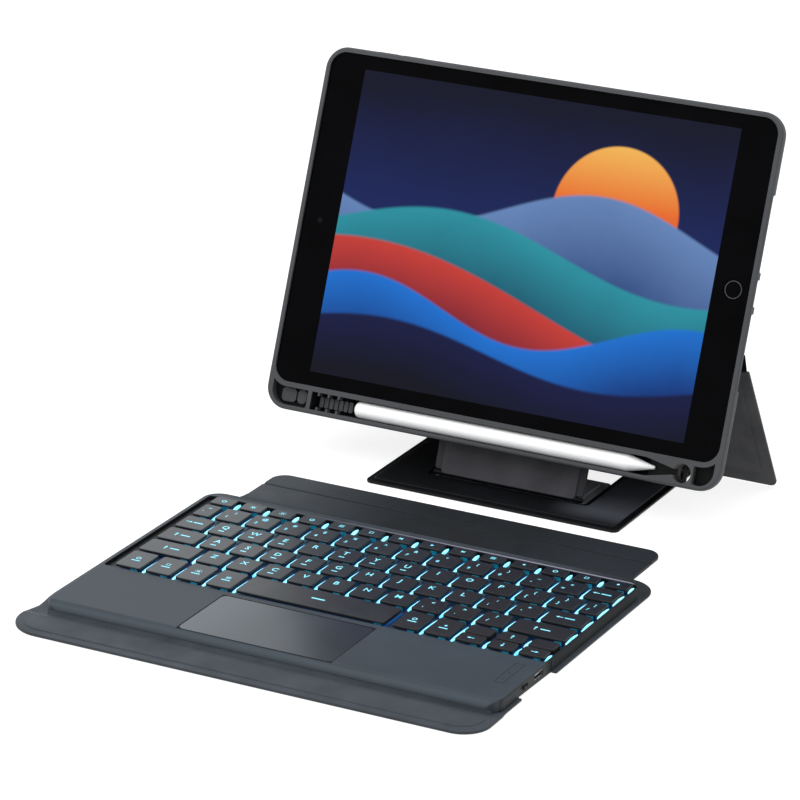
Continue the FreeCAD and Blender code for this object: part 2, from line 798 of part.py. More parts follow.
def make_insides():
    pad = slab(pad_left, pad_right, pad_front, pad_rear, pad_top - trackpad_thickness, pad_top,
               trackpad_corner)
    bracket_top = pad_top - trackpad_thickness - trackpad_travel - key_clear / 2
    bracket = slab(pad_left + bracket_inset, pad_right - bracket_inset, pad_front + bracket_inset,
                   pad_rear - bracket_inset, case_floor, bracket_top)
    cell_front = pad_front + cell_inset
    cell_rear = pad_rear - cell_inset
    left_cell = slab(deck_left + deck_wall + cell_end_gap, pad_left - cell_side, cell_front, cell_rear,
                     case_floor, case_floor + cell_thickness)
    right_cell = slab(pad_right + cell_side, board_left - board_gap, cell_front, cell_rear,
                      case_floor, case_floor + cell_thickness)
    board_top = case_floor + board_thickness
    board = slab(board_left, board_right, cell_front + board_gap, cell_rear, case_floor, board_top)
    port_z = board_top + port_thickness / 2
    port_end = deck_right - port_setback - notch_clear
    port_start = port_end - port_length
    port = slab(port_start, port_end, port_y() - port_width / 2, port_y() + port_width / 2,
                board_top, board_top + port_thickness, port_thickness * 0.45, V(1, 0, 0))
    inner = port_width / 2 - port_wall
    room = port_thickness / 2 - port_wall
    port = port.cut(slab(port_start + port_wall, port_end + 1, port_y() - inner, port_y() + inner,
                         port_z - room, port_z + room, room * 0.9, V(1, 0, 0)))
    port = port.fuse(slab(port_start, port_end - 1, port_y() - tongue_width / 2,
                          port_y() + tongue_width / 2, port_z - tongue_thickness / 2,
                          port_z + tongue_thickness / 2))
    return {
        "trackpad": pad,
        "trackpad_bracket": bracket,
        "battery_cells": Part.makeCompound([left_cell, right_cell]),
        "main_board": board,
        "usb_c_port": port,
    }


def row_of_keys(row, first_width, count):
    front = first_row - function_depth - row * row_pitch
    rear = front + row_depth
    left = (keys_left, keys_left + first_width, front, rear)
    start = keys_left + first_width + key_gap
    middle = []
    for i in range(count):
        x = start + i * key_pitch
        middle.append((x, x + key_width, front, rear))
    right = (start + count * key_pitch, keys_right, front, rear)
    return left, middle, right


def lay_out_keys():
    function_front = first_row - function_depth
    function_pitch = (keys_right - keys_left - function_width) / (function_count - 1)
    function = []
    for i in range(function_count):
        x = keys_left + i * function_pitch
        function.append((x, x + function_width, function_front, first_row))
    tick, numbers, backspace = row_of_keys(1, number_first, number_count)
    tab, upper, slash = row_of_keys(2, upper_first, upper_count)
    caps, home, enter = row_of_keys(3, home_first, home_count)
    left_shift, lower, right_shift = row_of_keys(4, lower_first, lower_count)
    bottom_rear = bottom_front + bottom_depth
    modifiers = []
    for i in range(left_modifier_count):
        x = keys_left + i * left_pitch
        modifiers.append((x, x + left_pitch - key_gap, bottom_front, bottom_rear))
    right = []
    for i in range(right_bottom_count):
        x = right_bottom_start + i * right_pitch
        right.append((x, x + right_pitch - right_bottom_gap, bottom_front, bottom_rear))
    modifiers += right[:2]
    x0, x1, y0, y1 = right[3]
    middle = (y0 + y1) / 2
    up = (x0, x1, middle + arrow_split / 2, y1)
    down = (x0, x1, y0, middle - arrow_split / 2)
    return {
        "function_keys": function,
        "number_keys": [tick] + numbers,
        "upper_letter_keys": upper + [slash],
        "home_letter_keys": home,
        "lower_letter_keys": lower,
        "modifier_keys": modifiers,
        "arrow_keys": [right[2], up, down, right[4]],
        "space_bar": [(space_left, space_right, bottom_front, bottom_rear)],
        "backspace_key": [backspace],
        "tab_key": [tab],
        "caps_key": [caps],
        "enter_key": [enter],
        "left_shift_key": [left_shift],
        "right_shift_key": [right_shift],
    }


def stem_of(key, extra, z0, z1):
    x0, x1, y0, y1 = key
    x = (x0 + x1) / 2
    y = (y0 + y1) / 2
    half_x = stem_width / 2 + extra
    half_y = (y1 - y0) / stem_share / 2 + extra
    return slab(x - half_x, x + half_x, y - half_y, y + half_y, z0, z1)


def make_key(key):
    x0, x1, y0, y1 = key
    cap = slab(x0, x1, y0, y1, key_top - cap_depth, key_top, cap_corner)
    cap = cap.makeFillet(cap_round, level_edges(cap, key_top))
    return cap.fuse(stem_of(key, 0, guide_top - stem_reach, key_top - cap_depth / 2))


def make_keys():
    layout = lay_out_keys()
    shapes = {}
    every = []
    for name, keys in layout.items():
        solids = [make_key(key) for key in keys]
        shapes[name] = solids[0] if len(solids) == 1 else Part.makeCompound(solids)
        every += keys
    x0 = deck_left + deck_wall + key_clear
    x1 = keys_right
    y0 = well_front - plate_lap
    y1 = first_row
    shapes["key_plate"] = slab(x0, x1, y0, y1, case_floor, plate_top)
    sheet = slab(x0, x1, y0, y1, plate_top, sheet_top)
    domes = []
    holes = []
    for key in every:
        x = (key[0] + key[1]) / 2
        y = (key[2] + key[3]) / 2
        domes.append(post(dome_radius, x, y, sheet_top - dome_sheet_depth / 2, sheet_top + dome_height))
        holes.append(stem_of(key, stem_clear, guide_top - guide_depth - 1, guide_top + 1))
    shapes["dome_sheet"] = sheet.multiFuse(domes)
    guide = slab(x0, x1, y0, y1, sheet_top, guide_top)
    guide = guide.cut(slab(x0 + guide_rim, x1 - guide_rim, y0 + guide_rim, y1 - guide_rim,
                           sheet_top - 1, guide_top - guide_depth))
    shapes["light_guide"] = guide.cut(Part.makeCompound(holes))
    return shapes


def save(shapes, place):
    for name, shape in shapes.items():
        part = place(shape)
        part.translate(-origin)
        solids = part.Solids
        part = solids[0] if len(solids) == 1 else Part.makeCompound(solids)
        part.exportStep("parts/" + name + ".step")
        print(name, len(solids), round(part.Volume, 1), part.isValid())


save(make_tablet(), in_tray)
save(make_tray(), in_tray)
save(make_covers(), in_tray)
save(make_stylus(), in_tray)
save(make_leg(), on_leg)
save(make_base(), on_stand)
save(make_riser(), on_riser)
save(make_dock(), on_keyboard)
save(make_front_flap(), on_keyboard)
save(make_case(), on_keyboard)
save(make_insides(), on_keyboard)
save(make_keys(), on_keyboard)
for label, value in (("origin", origin), ("centre", V(0, 0, centre_z) - origin),
                     ("leg top", V(0, leg_top_y, leg_top_z) - origin),
                     ("foot", V(0, foot_y, foot_z) - origin),
                     ("riser", V(stand_shift, riser_y, riser_z) - origin),
                     ("flap", V(0, flap_y, flap_z) - origin),
                     ("dock", V(0, crease_y, dock_z) - origin)):
    print(label, [round(c, 4) for c in value])
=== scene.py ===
import bpy
import bmesh
import math
from mathutils import Matrix, Vector


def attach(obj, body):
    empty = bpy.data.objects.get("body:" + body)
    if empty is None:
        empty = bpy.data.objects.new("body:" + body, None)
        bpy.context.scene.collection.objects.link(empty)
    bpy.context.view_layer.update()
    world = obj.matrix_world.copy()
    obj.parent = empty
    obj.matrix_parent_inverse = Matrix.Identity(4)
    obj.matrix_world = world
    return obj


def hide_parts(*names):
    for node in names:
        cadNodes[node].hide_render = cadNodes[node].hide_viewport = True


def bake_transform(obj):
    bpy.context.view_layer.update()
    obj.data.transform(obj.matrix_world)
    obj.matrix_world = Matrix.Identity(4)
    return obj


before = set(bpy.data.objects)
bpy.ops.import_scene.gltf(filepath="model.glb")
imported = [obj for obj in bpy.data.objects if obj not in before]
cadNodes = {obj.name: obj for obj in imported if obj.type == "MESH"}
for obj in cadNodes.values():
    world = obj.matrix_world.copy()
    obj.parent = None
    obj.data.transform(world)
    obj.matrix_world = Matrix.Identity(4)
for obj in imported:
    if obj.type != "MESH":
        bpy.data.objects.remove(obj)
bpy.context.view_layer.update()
mm = 0.001
weldDistance = 0.000001
print("frame loaded with", len(cadNodes), "nodes")

# camera at the photograph's angle: millimetres, and the clip in metres
cameraSet = {
    "place": (852.07, -1649.69, 772.03),
    "right": (0.885807, 0.463879, 0.012739),
    "down": (0.172804, -0.304254, -0.936786),
    "ahead": (-0.430679, 0.832013, -0.349671),
    "lens": 187.234,
    "sensor": 36.0,
    "clipEnd": 40.0,
}


def linkObject(name, data):
    holder = bpy.data.objects.new(name, data)
    bpy.context.scene.collection.objects.link(holder)
    return holder


def placeCamera(spec):
    eye = bpy.data.cameras.new("photoCamera")
    eye.sensor_fit = "HORIZONTAL"
    eye.sensor_width = spec["sensor"]
    eye.lens = spec["lens"]
    eye.clip_end = spec["clipEnd"]
    holder = linkObject("photoCamera", eye)
    axes = (Vector(spec["right"]), -Vector(spec["down"]), -Vector(spec["ahead"]))
    turn = Matrix(axes).transposed().to_4x4()
    holder.matrix_world = Matrix.Translation(Vector(spec["place"]) * mm) @ turn
    bpy.context.scene.camera = holder


# frames of the leaning pieces
def leanPlace(spot, angle):
    return Matrix.Translation(Vector(spot) * mm) @ Matrix.Rotation(math.radians(angle), 4, "X")


traySet = {"centre": (0.3, 124.9711, 116.9161), "lean": 68.6}
trayPlace = leanPlace(traySet["centre"], traySet["lean"])
riserPlace = leanPlace((9.8, 96.2543, 3.9), traySet["lean"])
legPlace = leanPlace((0.3, 167.9803, 3.9), 120.6)


# a colour of 0 to 255 as the shader takes it
def tone(colour):
    def flat(value):
        share = value / 255.0
        return share / 12.92 if share <= 0.04045 else ((share + 0.055) / 1.055) ** 2.4
    return (*(flat(value) for value in colour), 1.0)


# small helpers for node trees
slowDetail, fineDetail = 3.0, 2.0  # of slow and of fine noise


def clearTree(owner, kind):
    owner.use_nodes = True
    tree = owner.node_tree
    tree.nodes.clear()
    return tree, tree.nodes.new("ShaderNodeOutput" + kind)


def newFinish(name):
    finish = bpy.data.materials.new(name)
    tree, out = clearTree(finish, "Material")
    shader = tree.nodes.new("ShaderNodeBsdfPrincipled")
    tree.links.new(shader.outputs["BSDF"], out.inputs["Surface"])
    coords = tree.nodes.new("ShaderNodeTexCoord")
    return finish, tree, shader, coords.outputs["Object"]


# link the sockets that come from a node, set the others
def setSockets(tree, node, sockets):
    for key, value in sockets.items():
        if isinstance(value, bpy.types.NodeSocket):
            tree.links.new(value, node.inputs[key])
        else:
            node.inputs[key].default_value = value


def addNode(tree, kind, sockets, **settings):
    node = tree.nodes.new("ShaderNode" + kind)
    for key, value in settings.items():
        setattr(node, key, value)
    setSockets(tree, node, sockets)
    return node


def addTurn(tree, place, location=(0, 0, 0), turn=(0, 0, 0), scale=(1, 1, 1)):
    sockets = {"Vector": place, "Location": location, "Rotation": turn, "Scale": scale}
    return addNode(tree, "Mapping", sockets).outputs["Vector"]


def addNoise(tree, place, scale, detail, rough=0.55):
    sockets = {"Vector": place, "Scale": scale, "Detail": detail, "Roughness": rough}
    return addNode(tree, "TexNoise", sockets).outputs["Fac"]


def addCells(tree, place, scale):
    sockets = {"Vector": place, "Scale": scale}
    node = addNode(tree, "TexVoronoi", sockets, feature="DISTANCE_TO_EDGE")
    return node.outputs["Distance"]


def addRange(tree, value, given, wanted, soft=False):
    sockets = {"Value": value, "From Min": given[0], "From Max": given[1],
               "To Min": wanted[0], "To Max": wanted[1]}
    kind = "SMOOTHSTEP" if soft else "LINEAR"
    return addNode(tree, "MapRange", sockets, interpolation_type=kind).outputs["Result"]


def addRamp(tree, value, stops):
    node = addNode(tree, "ValToRGB", {"Fac": value})
    marks = node.color_ramp.elements
    while len(marks) < len(stops):
        marks.new(0.5)
    for mark, (spot, colour) in zip(marks, stops):
        mark.position = spot
        mark.color = tone(colour)
    return node.outputs["Color"]


def addTones(tree, value, look):
    return addRamp(tree, value, list(zip(look["ramp"], look["tones"])))


def addMath(tree, kind, *values):
    return addNode(tree, "Math", dict(enumerate(values)), operation=kind).outputs["Value"]


def addMix(tree, share, under, over):
    return addNode(tree, "Mix", {0: share, 6: under, 7: over}, data_type="RGBA").outputs[2]


def addBump(tree, height, strength, distance, under=None):
    sockets = {"Height": height, "Strength": strength, "Distance": distance}
    if under is not None:
        sockets["Normal"] = under
    return addNode(tree, "Bump", sockets).outputs["Normal"]


# across, up and out of the leaning tray, from the middle of the screen
def trayCoords(tree, place):
    lean = math.radians(traySet["lean"])
    back = Matrix.Rotation(-lean, 3, "X") @ (Vector(traySet["centre"]) * mm)
    return addTurn(tree, place, location=-back, turn=(-lean, 0, 0))


# how far a spot lies inside a zone: ramps along the axes, or a band round a rectangle
def zoneShare(tree, place, zone):
    if zone.get("onTray"):
        place = trayCoords(tree, place)
    axes = addNode(tree, "SeparateXYZ", {"Vector": place}).outputs
    share = None
    for axis, start, end in zone.get("ramps", ()):
        part = addRange(tree, axes[axis], (start * mm, end * mm), (0.0, 1.0), True)
        share = part if share is None else addMath(tree, "MULTIPLY", share, part)
    if "frame" in zone:
        sides = []
        for axis, (middle, half) in zip("XY", zone["frame"]):
            off = addMath(tree, "ABSOLUTE", addMath(tree, "SUBTRACT", axes[axis], middle * mm))
            sides.append(addMath(tree, "SUBTRACT", off, half * mm))
        near, far = zone["band"]
        outside = addMath(tree, "MAXIMUM", *sides)
        share = addRange(tree, outside, (near * mm, far * mm), (1.0, 0.0), True)
    return share


# the zones of a finish, most of them painted light and painted shade, laid over its colour and its
# roughness
def layZones(tree, place, look, colour, rough):
    for zone in look.get("zones", ()):
        share = zoneShare(tree, place, zone)
        colour = addMix(tree, share, colour, tone(zone["colour"]))
        if zone["rougher"]:
            rough = addMath(tree, "MULTIPLY_ADD", share, zone["rougher"], rough)
    return colour, rough


# leatherette: pebbled grain, slow blotches, a little polish on the high spots
leatherSet = {
    "blotch": 55.0, "grain": 1500.0, "rough": (0.52, 0.68), "raise": 0.35, "gloss": 0.3,
    "sheen": 0.04, "sheenRough": 0.5, "ramp": (0.35, 0.9), "roughRamp": (0.3, 0.7),
    "pebbleEdge": 0.22, "pebbleShare": 0.25, "pebbleDepth": 0.00012,
    "wave": (0.25, 0.0006), "fine": (0.12, 0.00008), "finer": 1.7,
}


def leatherFinish(name, ownLook):
    look = {**leatherSet, **ownLook}
    finish, tree, shader, place = newFinish(name)
    cells = addCells(tree, place, look["grain"])
    pebble = addRange(tree, cells, (0.0, look["pebbleEdge"]), (0.0, 1.0), True)
    blotch = addNoise(tree, place, look["blotch"], slowDetail)
    fine = addNoise(tree, place, look["grain"] * look["finer"], fineDetail)
    spread = addMath(tree, "MULTIPLY_ADD", pebble, look["pebbleShare"], blotch)
    low, high = look["rough"]
    rough = addRange(tree, blotch, look["roughRamp"], (high, low))
    colour, rough = layZones(tree, place, look, addTones(tree, spread, look), rough)
    wave = addBump(tree, blotch, *look["wave"])
    grain = addBump(tree, pebble, look["raise"], look["pebbleDepth"], wave)
    setSockets(tree, shader, {
        "Base Color": colour, "Roughness": rough,
        "Normal": addBump(tree, fine, *look["fine"], grain), "Specular IOR Level": look["gloss"],
        "Sheen Weight": look["sheen"], "Sheen Roughness": look["sheenRough"]})
    return finish


# moulded plastic or rubber: spark texture, slow tone change
mouldedSet = {"raise": 0.1, "gloss": 0.5, "ramp": (0.4, 0.9), "wave": (0.1, 0.0005),
              "sparkShare": 0.3, "sparkRough": 0.6, "sparkDepth": 0.00006}


def mouldedFinish(name, ownLook):
    look = {**mouldedSet, **ownLook}
    finish, tree, shader, place = newFinish(name)
    blotchScale, sparkScale = look["scales"]
    blotch = addNoise(tree, place, blotchScale, slowDetail)
    spark = addNoise(tree, place, sparkScale, fineDetail, look["sparkRough"])
    spread = addMath(tree, "MULTIPLY_ADD", spark, look["sparkShare"], blotch)
    rough = addRange(tree, spread, look["ramp"], look["rough"])
    colour, rough = layZones(tree, place, look, addTones(tree, spread, look), rough)
    wave = addBump(tree, blotch, *look["wave"])
    setSockets(tree, shader, {
        "Base Color": colour, "Roughness": rough, "Specular IOR Level": look["gloss"],
        "Normal": addBump(tree, spark, look["raise"], look["sparkDepth"], wave)})
    return finish


# glass with faint smears in its gloss, and bead-blasted or drawn metal
glassSet = {"scale": 45.0, "detail": 4.0, "drawn": (1.0, 1.0, 1.0), "ramp": (0.3, 0.8),
            "roughRamp": (0.35, 0.7), "wave": (0.02, 0.0002), "metal": 0.0}
metalSet = {"scale": 900.0, "detail": 2.0, "drawn": (1.0, 1.0, 1.0), "ramp": (0.3, 0.7),
            "roughRamp": (0.3, 0.7), "wave": (0.08, 0.00005), "metal": 1.0, "gloss": 0.5}


def polishedFinish(name, look):
    finish, tree, shader, place = newFinish(name)
    drawn = addTurn(tree, place, scale=look["drawn"])
    lines = addNoise(tree, drawn, look["scale"], look["detail"])
    setSockets(tree, shader, {
        "Base Color": addTones(tree, lines, look), "Metallic": look["metal"],
        "Roughness": addRange(tree, lines, look["roughRamp"], look["rough"]),
        "Normal": addBump(tree, lines, *look["wave"]), "Specular IOR Level": look["gloss"]})
    return finish


# light coming out of a milky guide or a lit legend
litSet = {"cloud": 240.0, "ramp": (0.3, 0.7), "rough": (0.4, 0.6), "wave": (0.1, 0.0001),
          "body": (0.003, 0.004, 0.006, 1.0)}


def litFinish(name, ownLook):
    look = {**litSet, **ownLook}
    finish, tree, shader, place = newFinish(name)
    cloud = addNoise(tree, place, look["cloud"], fineDetail)
    rough = addRange(tree, cloud, look["ramp"], look["rough"])
    colour, rough = layZones(tree, place, look, addTones(tree, cloud, look), rough)
    setSockets(tree, shader, {
        "Base Color": look["body"], "Emission Color": colour, "Roughness": rough,
        "Emission Strength": look["strength"], "Normal": addBump(tree, cloud, *look["wave"])})
    return finish


# the lit picture: a plain set of layered hills under a low sun, in metres from its middle
screenSet = {
    "sky": [(0.0, (10, 14, 52)), (0.45, (18, 34, 92)), (1.0, (6, 8, 34))],
    "skyBand": (-0.03, 0.08), "haze": 26.0, "skyHaze": 0.15, "hillHaze": 0.2,
    "sun": {"across": 0.046, "upward": 0.026, "radius": 0.034, "soft": 0.0008,
            "face": [(0.0, (190, 40, 40)), (0.55, (240, 110, 40)), (1.0, (252, 190, 90))]},
    "hillSoft": 0.0012, "crestStop": 0.1,
    "hills": [  # level, swing, pitch, phase, fall, crest, foot
        (0.020, 0.014, 30.0, 0.4, 0.060, (104, 138, 190), (30, 60, 120)),
        (0.001, 0.014, 24.0, 2.6, 0.050, (42, 150, 165), (10, 60, 92)),
        (-0.028, 0.022, 16.0, 2.9, 0.040, (206, 62, 52), (84, 18, 44)),
        (-0.035, 0.012, 34.0, 4.4, 0.040, (24, 116, 214), (6, 40, 108)),
        (-0.053, 0.009, 27.0, 3.4, 0.030, (14, 20, 66), (3, 5, 22)),
    ],
    "strength": 0.9, "body": (0.004, 0.004, 0.006, 1.0), "gloss": 0.08,
    "roughRamp": (0.3, 0.7), "rough": (0.06, 0.1),
}


def screenFinish(spec):
    finish, tree, shader, place = newFinish("screenPicture")
    flat = trayCoords(tree, place)
    axes = addNode(tree, "SeparateXYZ", {"Vector": flat}).outputs
    across, upward = axes["X"], axes["Y"]
    haze = addNoise(tree, flat, spec["haze"], slowDetail)
    height = addRange(tree, upward, spec["skyBand"], (0.0, 1.0))
    hazed = addMath(tree, "MULTIPLY_ADD", haze, spec["skyHaze"], height)
    picture = addRamp(tree, hazed, spec["sky"])
    sun = spec["sun"]
    radius, soft, rise = sun["radius"], sun["soft"], sun["upward"]
    sockets = {0: flat, 1: (sun["across"], rise, 0.0)}
    far = addNode(tree, "VectorMath", sockets, operation="DISTANCE").outputs["Value"]
    disc = addRange(tree, far, (radius - soft, radius + soft), (1.0, 0.0), True)
    face = addRange(tree, upward, (rise - radius, rise + radius), (0.0, 1.0))
    picture = addMix(tree, disc, picture, addRamp(tree, face, sun["face"]))
    soft = spec["hillSoft"]
    for level, swing, pitch, phase, fall, crest, foot in spec["hills"]:
        wave = addMath(tree, "SINE", addMath(tree, "MULTIPLY_ADD", across, pitch, phase))
        ridge = addMath(tree, "MULTIPLY_ADD", wave, swing, level)
        under = addMath(tree, "SUBTRACT", ridge, upward)
        mask = addRange(tree, under, (-soft, soft), (0.0, 1.0), True)
        slope = addRange(tree, under, (0.0, fall), (0.0, 1.0))
        hazed = addMath(tree, "MULTIPLY_ADD", haze, spec["hillHaze"], slope)
        shade = addRamp(tree, hazed, [(spec["crestStop"], crest), (1.0, foot)])
        picture = addMix(tree, mask, picture, shade)
    setSockets(tree, shader, {
        "Emission Color": picture, "Emission Strength": spec["strength"],
        "Base Color": spec["body"], "Specular IOR Level": spec["gloss"],
        "Roughness": addRange(tree, haze, spec["roughRamp"], spec["rough"])})
    return finish


# a zone of another tone, bounded by ramps in millimetres: most are painted highlights and painted
# shade
def tint(colour, *ramps, rougher=0.0, onTray=False):
    return {"colour": colour, "ramps": ramps, "rougher": rougher, "onTray": onTray}


# painted shade in a deep stretch of the stylus slot: how deep it starts, and its left and right
# ends
def paintedSlotShade(deep, left, right, head=(-86.0, -86.6)):
    foot = (-98.9, -98.3)
    return tint((7, 8, 9), ("Z", *deep), ("Y", *head), ("Y", *foot), ("X", *left), ("X", *right),
                rougher=0.1, onTray=True)


blackLeather = {"tones": ((7, 8, 10), (14, 15, 18)), "rough": (0.36, 0.46), "raise": 0.3,
                "gloss": 0.16, "sheen": 0.0}
finishSet = {
    leatherFinish: {
        "easelSkin": blackLeather,
        # the base's lighter patch on its right part is a painted highlight, fading towards the
        # front edge
        "baseSkin": {**blackLeather, "zones": [
            tint((70, 73, 80), ("X", 34.0, 60.0), ("Y", 168.0, 124.0), ("Y", 74.0, 94.0),
                 ("Z", 1.6, 2.2))]},
        # flap, riser and riser margin are the base's leatherette in lighter tones: painted light
        # for how these pieces are lit
        "flapSkin": {"tones": ((98, 101, 107), (114, 117, 124))},
        "riserSkin": {"tones": ((52, 52, 56), (66, 66, 71))},
        "riserEdge": {"tones": ((44, 44, 48), (58, 58, 62)), "gloss": 0.2, "sheen": 0.02,
                      # the riser margin's dark foot is painted shade where it stands on the base
                      "zones": [tint((4, 5, 7), ("Z", 5.6, 4.2))]},
        "legSkin": {"tones": ((42, 43, 46), (56, 57, 60))},
        "keyboardSkin": {"tones": ((38, 44, 50), (51, 58, 65)), "rough": (0.48, 0.62),
                         "raise": 0.3, "gloss": 0.32, "sheen": 0.03, "zones": [
            # painted shade on the flange behind the deck's right end, under the tray
            tint((26, 29, 32), ("X", 70.0, 112.0), ("Y", 0.0, 9.0))]},
        # the strip is the keyboard's leatherette in a darker copy, painted shade of the tray above
        # it; its left and right ends are painted lighter, where less shade falls
        "stripSkin": {"tones": ((14, 17, 20), (22, 26, 30)), "rough": (0.48, 0.62),
                      "raise": 0.3, "gloss": 0.2, "sheen": 0.02, "zones": [
            tint((52, 57, 62), ("X", -5.0, -105.0)),
            tint((27, 31, 36), ("X", 40.0, 95.0)),
            # a painted shade band in the dock crease
            tint((14, 16, 18), ("Y", 43.2, 43.8), ("Y", 44.9, 44.3))]},
    },
    mouldedFinish: {
        "softShell": {"tones": ((58, 60, 62), (69, 71, 74)), "scales": (30.0, 2600.0),
                      "rough": (0.55, 0.68), "raise": 0.12, "gloss": 0.35, "zones": [
            # painted shade inside the stylus slot, its pockets and cushions
            paintedSlotShade((-2.4, -4.6), (-124.6, -123.8), (-97.6, -98.2)),
            paintedSlotShade((-4.0, -5.2), (-98.2, -97.6), (-76.0, -76.6)),
            paintedSlotShade((-0.8, -3.2), (-76.6, -76.0), (124.6, 123.8), (-85.0, -86.0)),
            paintedSlotShade((0.9, 0.2), (-101.0, -100.6), (-98.4, -99.2))]},
        "deckPlastic": {"tones": ((36, 44, 51), (46, 55, 63)), "scales": (25.0, 3200.0),
                        "rough": (0.42, 0.52), "gloss": 0.36, "zones": [
            # painted shade on the deck's right wall, below its top
            tint((16, 19, 21), ("X", 123.1, 123.4), ("Z", 6.75, 6.5), rougher=0.12),
            # painted shade on the key well's floor, under the keys
            tint((5, 6, 7), ("Z", 6.8, 6.5), ("X", 124.0, 123.7), ("X", -111.0, -110.6),
                 ("Y", 6.0, 5.6), ("Y", -98.5, -97.9), rougher=0.2),
            # painted shade on the deck's right wall behind the port notch, darkened against the
            # right lamp so it reads like the flange
            tint((14, 17, 20), ("X", 122.5, 122.8), ("Y", -97.0, -93.0), ("Y", 7.0, 4.0),
                 rougher=0.2),
            # painted light along the deck's front nose, against the shadow above the lip
            tint((56, 64, 71), ("Y", -143.6, -145.8), ("X", 122.0, 118.0)),
            # painted shade on the rear rim, which is also glossier
            tint((20, 24, 28), ("Y", 5.9, 6.4), rougher=-0.2),
            # a painted highlight, lilac grey, along the top of the rear rim's right part
            tint((128, 126, 142), ("Y", 5.2, 5.5), ("X", -90.0, 70.0), ("Z", 5.5, 6.2)),
            {"colour": (3, 3, 4), "rougher": 0.2, "band": (0.3, 0.8),
             "frame": ((-1.0, 40.0), (-121.84, 21.45))}]},
        "keyPlastic": {"tones": ((15, 18, 22), (27, 32, 38)), "scales": (60.0, 3600.0),
                       "rough": (0.32, 0.42), "zones": [
            # painted highlight on the keys towards the left, painted shade towards the right
            tint((62, 66, 70), ("X", 40.0, -105.0)),
            tint((8, 9, 11), ("X", 0.0, 120.0), rougher=0.04),
            # painted shade on the keys' sides, below their tops
            tint((2, 2, 3), ("Z", 7.75, 7.5), rougher=0.3)]},
        "padFace": {"tones": ((40, 48, 56), (48, 57, 66)), "scales": (18.0, 3000.0),
                    "rough": (0.2, 0.26), "raise": 0.04, "gloss": 0.62, "zones": [
            # painted highlight on the trackpad's left half, painted shade on its right half
            tint((64, 73, 82), ("X", 0.0, -42.0)),
            tint((32, 39, 45), ("X", 0.0, 38.0))]},
        "stylusWhite": {"tones": ((246, 247, 248), (254, 255, 255)), "scales": (40.0, 2500.0),
                        "rough": (0.25, 0.35), "raise": 0.04},
        "boardGrey": {"tones": ((92, 84, 72), (120, 110, 96)), "scales": (90.0, 1400.0),
                      "rough": (0.8, 0.92), "raise": 0.3, "gloss": 0.2},
        "domeRubber": {"tones": ((176, 178, 176), (206, 208, 204)), "scales": (60.0, 2000.0),
                       "rough": (0.5, 0.62), "gloss": 0.4},
        "cellWrap": {"tones": ((40, 42, 46), (64, 66, 70)), "scales": (50.0, 900.0),
                     "rough": (0.3, 0.45), "raise": 0.2},
        "circuitGreen": {"tones": ((16, 60, 40), (28, 92, 60)), "scales": (160.0, 700.0),
                         "rough": (0.35, 0.5), "raise": 0.2},
    },
    polishedFinish: {
        "blackGlass": {**glassSet, "tones": ((2, 2, 3), (6, 6, 8)), "rough": (0.05, 0.09),
                       "gloss": 0.03},
        "lensGlass": {**glassSet, "tones": ((4, 4, 8), (14, 14, 22)), "rough": (0.04, 0.08),
                      "gloss": 0.1},
        "steel": {**metalSet, "tones": ((150, 152, 156), (196, 198, 202)), "rough": (0.22, 0.36),
                  "drawn": (1.0, 0.05, 1.0)},
        "tabletMetal": {**metalSet, "tones": ((70, 72, 78), (88, 90, 96)), "rough": (0.38, 0.46)},
    },
    litFinish: {
        "guideGlow": {"tones": ((0, 40, 84), (0, 66, 120)), "cloud": 120.0, "strength": 0.25,
                      "body": (0.003, 0.004, 0.005, 1.0),
                      "zones": [tint((0, 0, 0), ("X", -104.0, -104.4))]},
        "ribGlow": {"tones": ((90, 214, 250), (170, 245, 255)), "strength": 1.6,
                    "body": (0.1, 0.2, 0.25, 1.0)},
        "footGlow": {"tones": ((0, 60, 130), (0, 96, 180)), "strength": 0.6},
        "dashGlow": {"tones": ((0, 96, 130), (10, 140, 175)), "strength": 0.6},
        "legendGlow": {"tones": ((96, 214, 240), (140, 236, 252)), "cloud": 300.0,
                       "strength": 1.1, "body": (0.1, 0.2, 0.25, 1.0)},
        "statusGlow": {"tones": ((24, 26, 28), (46, 50, 54)), "cloud": 400.0,
                       "strength": 0.05, "body": (0.01, 0.01, 0.01, 1.0)},
    },
}

finishes = {}
for makeFinish, looks in finishSet.items():
    for name, look in looks.items():
        finishes[name] = makeFinish(name, look)
finishes["screenPicture"] = screenFinish(screenSet)
print("finishes made:", len(finishes))

# which finish each carried-over node wears
keyNodes = ("function_keys number_keys upper_letter_keys home_letter_keys lower_letter_keys "
            "modifier_keys arrow_keys space_bar backspace_key tab_key caps_key enter_key "
            "left_shift_key right_shift_key").split()
nodeFinish = {
    "softShell": "tray_shell power_cover volume_up_cover volume_down_cover",
    "deckPlastic": "keyboard_deck lower_case",
    "keyPlastic": " ".join(keyNodes) + " power_switch",
    "padFace": "trackpad",
    "stylusWhite": "stylus_barrel stylus_tip",
    "boardGrey": "back_board leg_board base_board riser_board",
    "domeRubber": "dome_sheet",
    "cellWrap": "battery_cells tablet_battery",
    "circuitGreen": "main_board",
    "blackGlass": "tablet_glass home_button",
    "lensGlass": "front_camera rear_camera",
    "steel": "key_plate dock_magnets trackpad_bracket usb_c_port",
    "tabletMetal": "tablet_shell",
    "guideGlow": "light_guide",
    "statusGlow": "status_lights",
    "screenPicture": "tablet_screen",
}


def dressNodes(table):
    for finishName, names in table.items():
        for name in names.split():
            mesh = cadNodes[name].data
            mesh.materials.clear()
            mesh.materials.append(finishes[finishName])


dressNodes(nodeFinish)
print("carried-over nodes dressed")

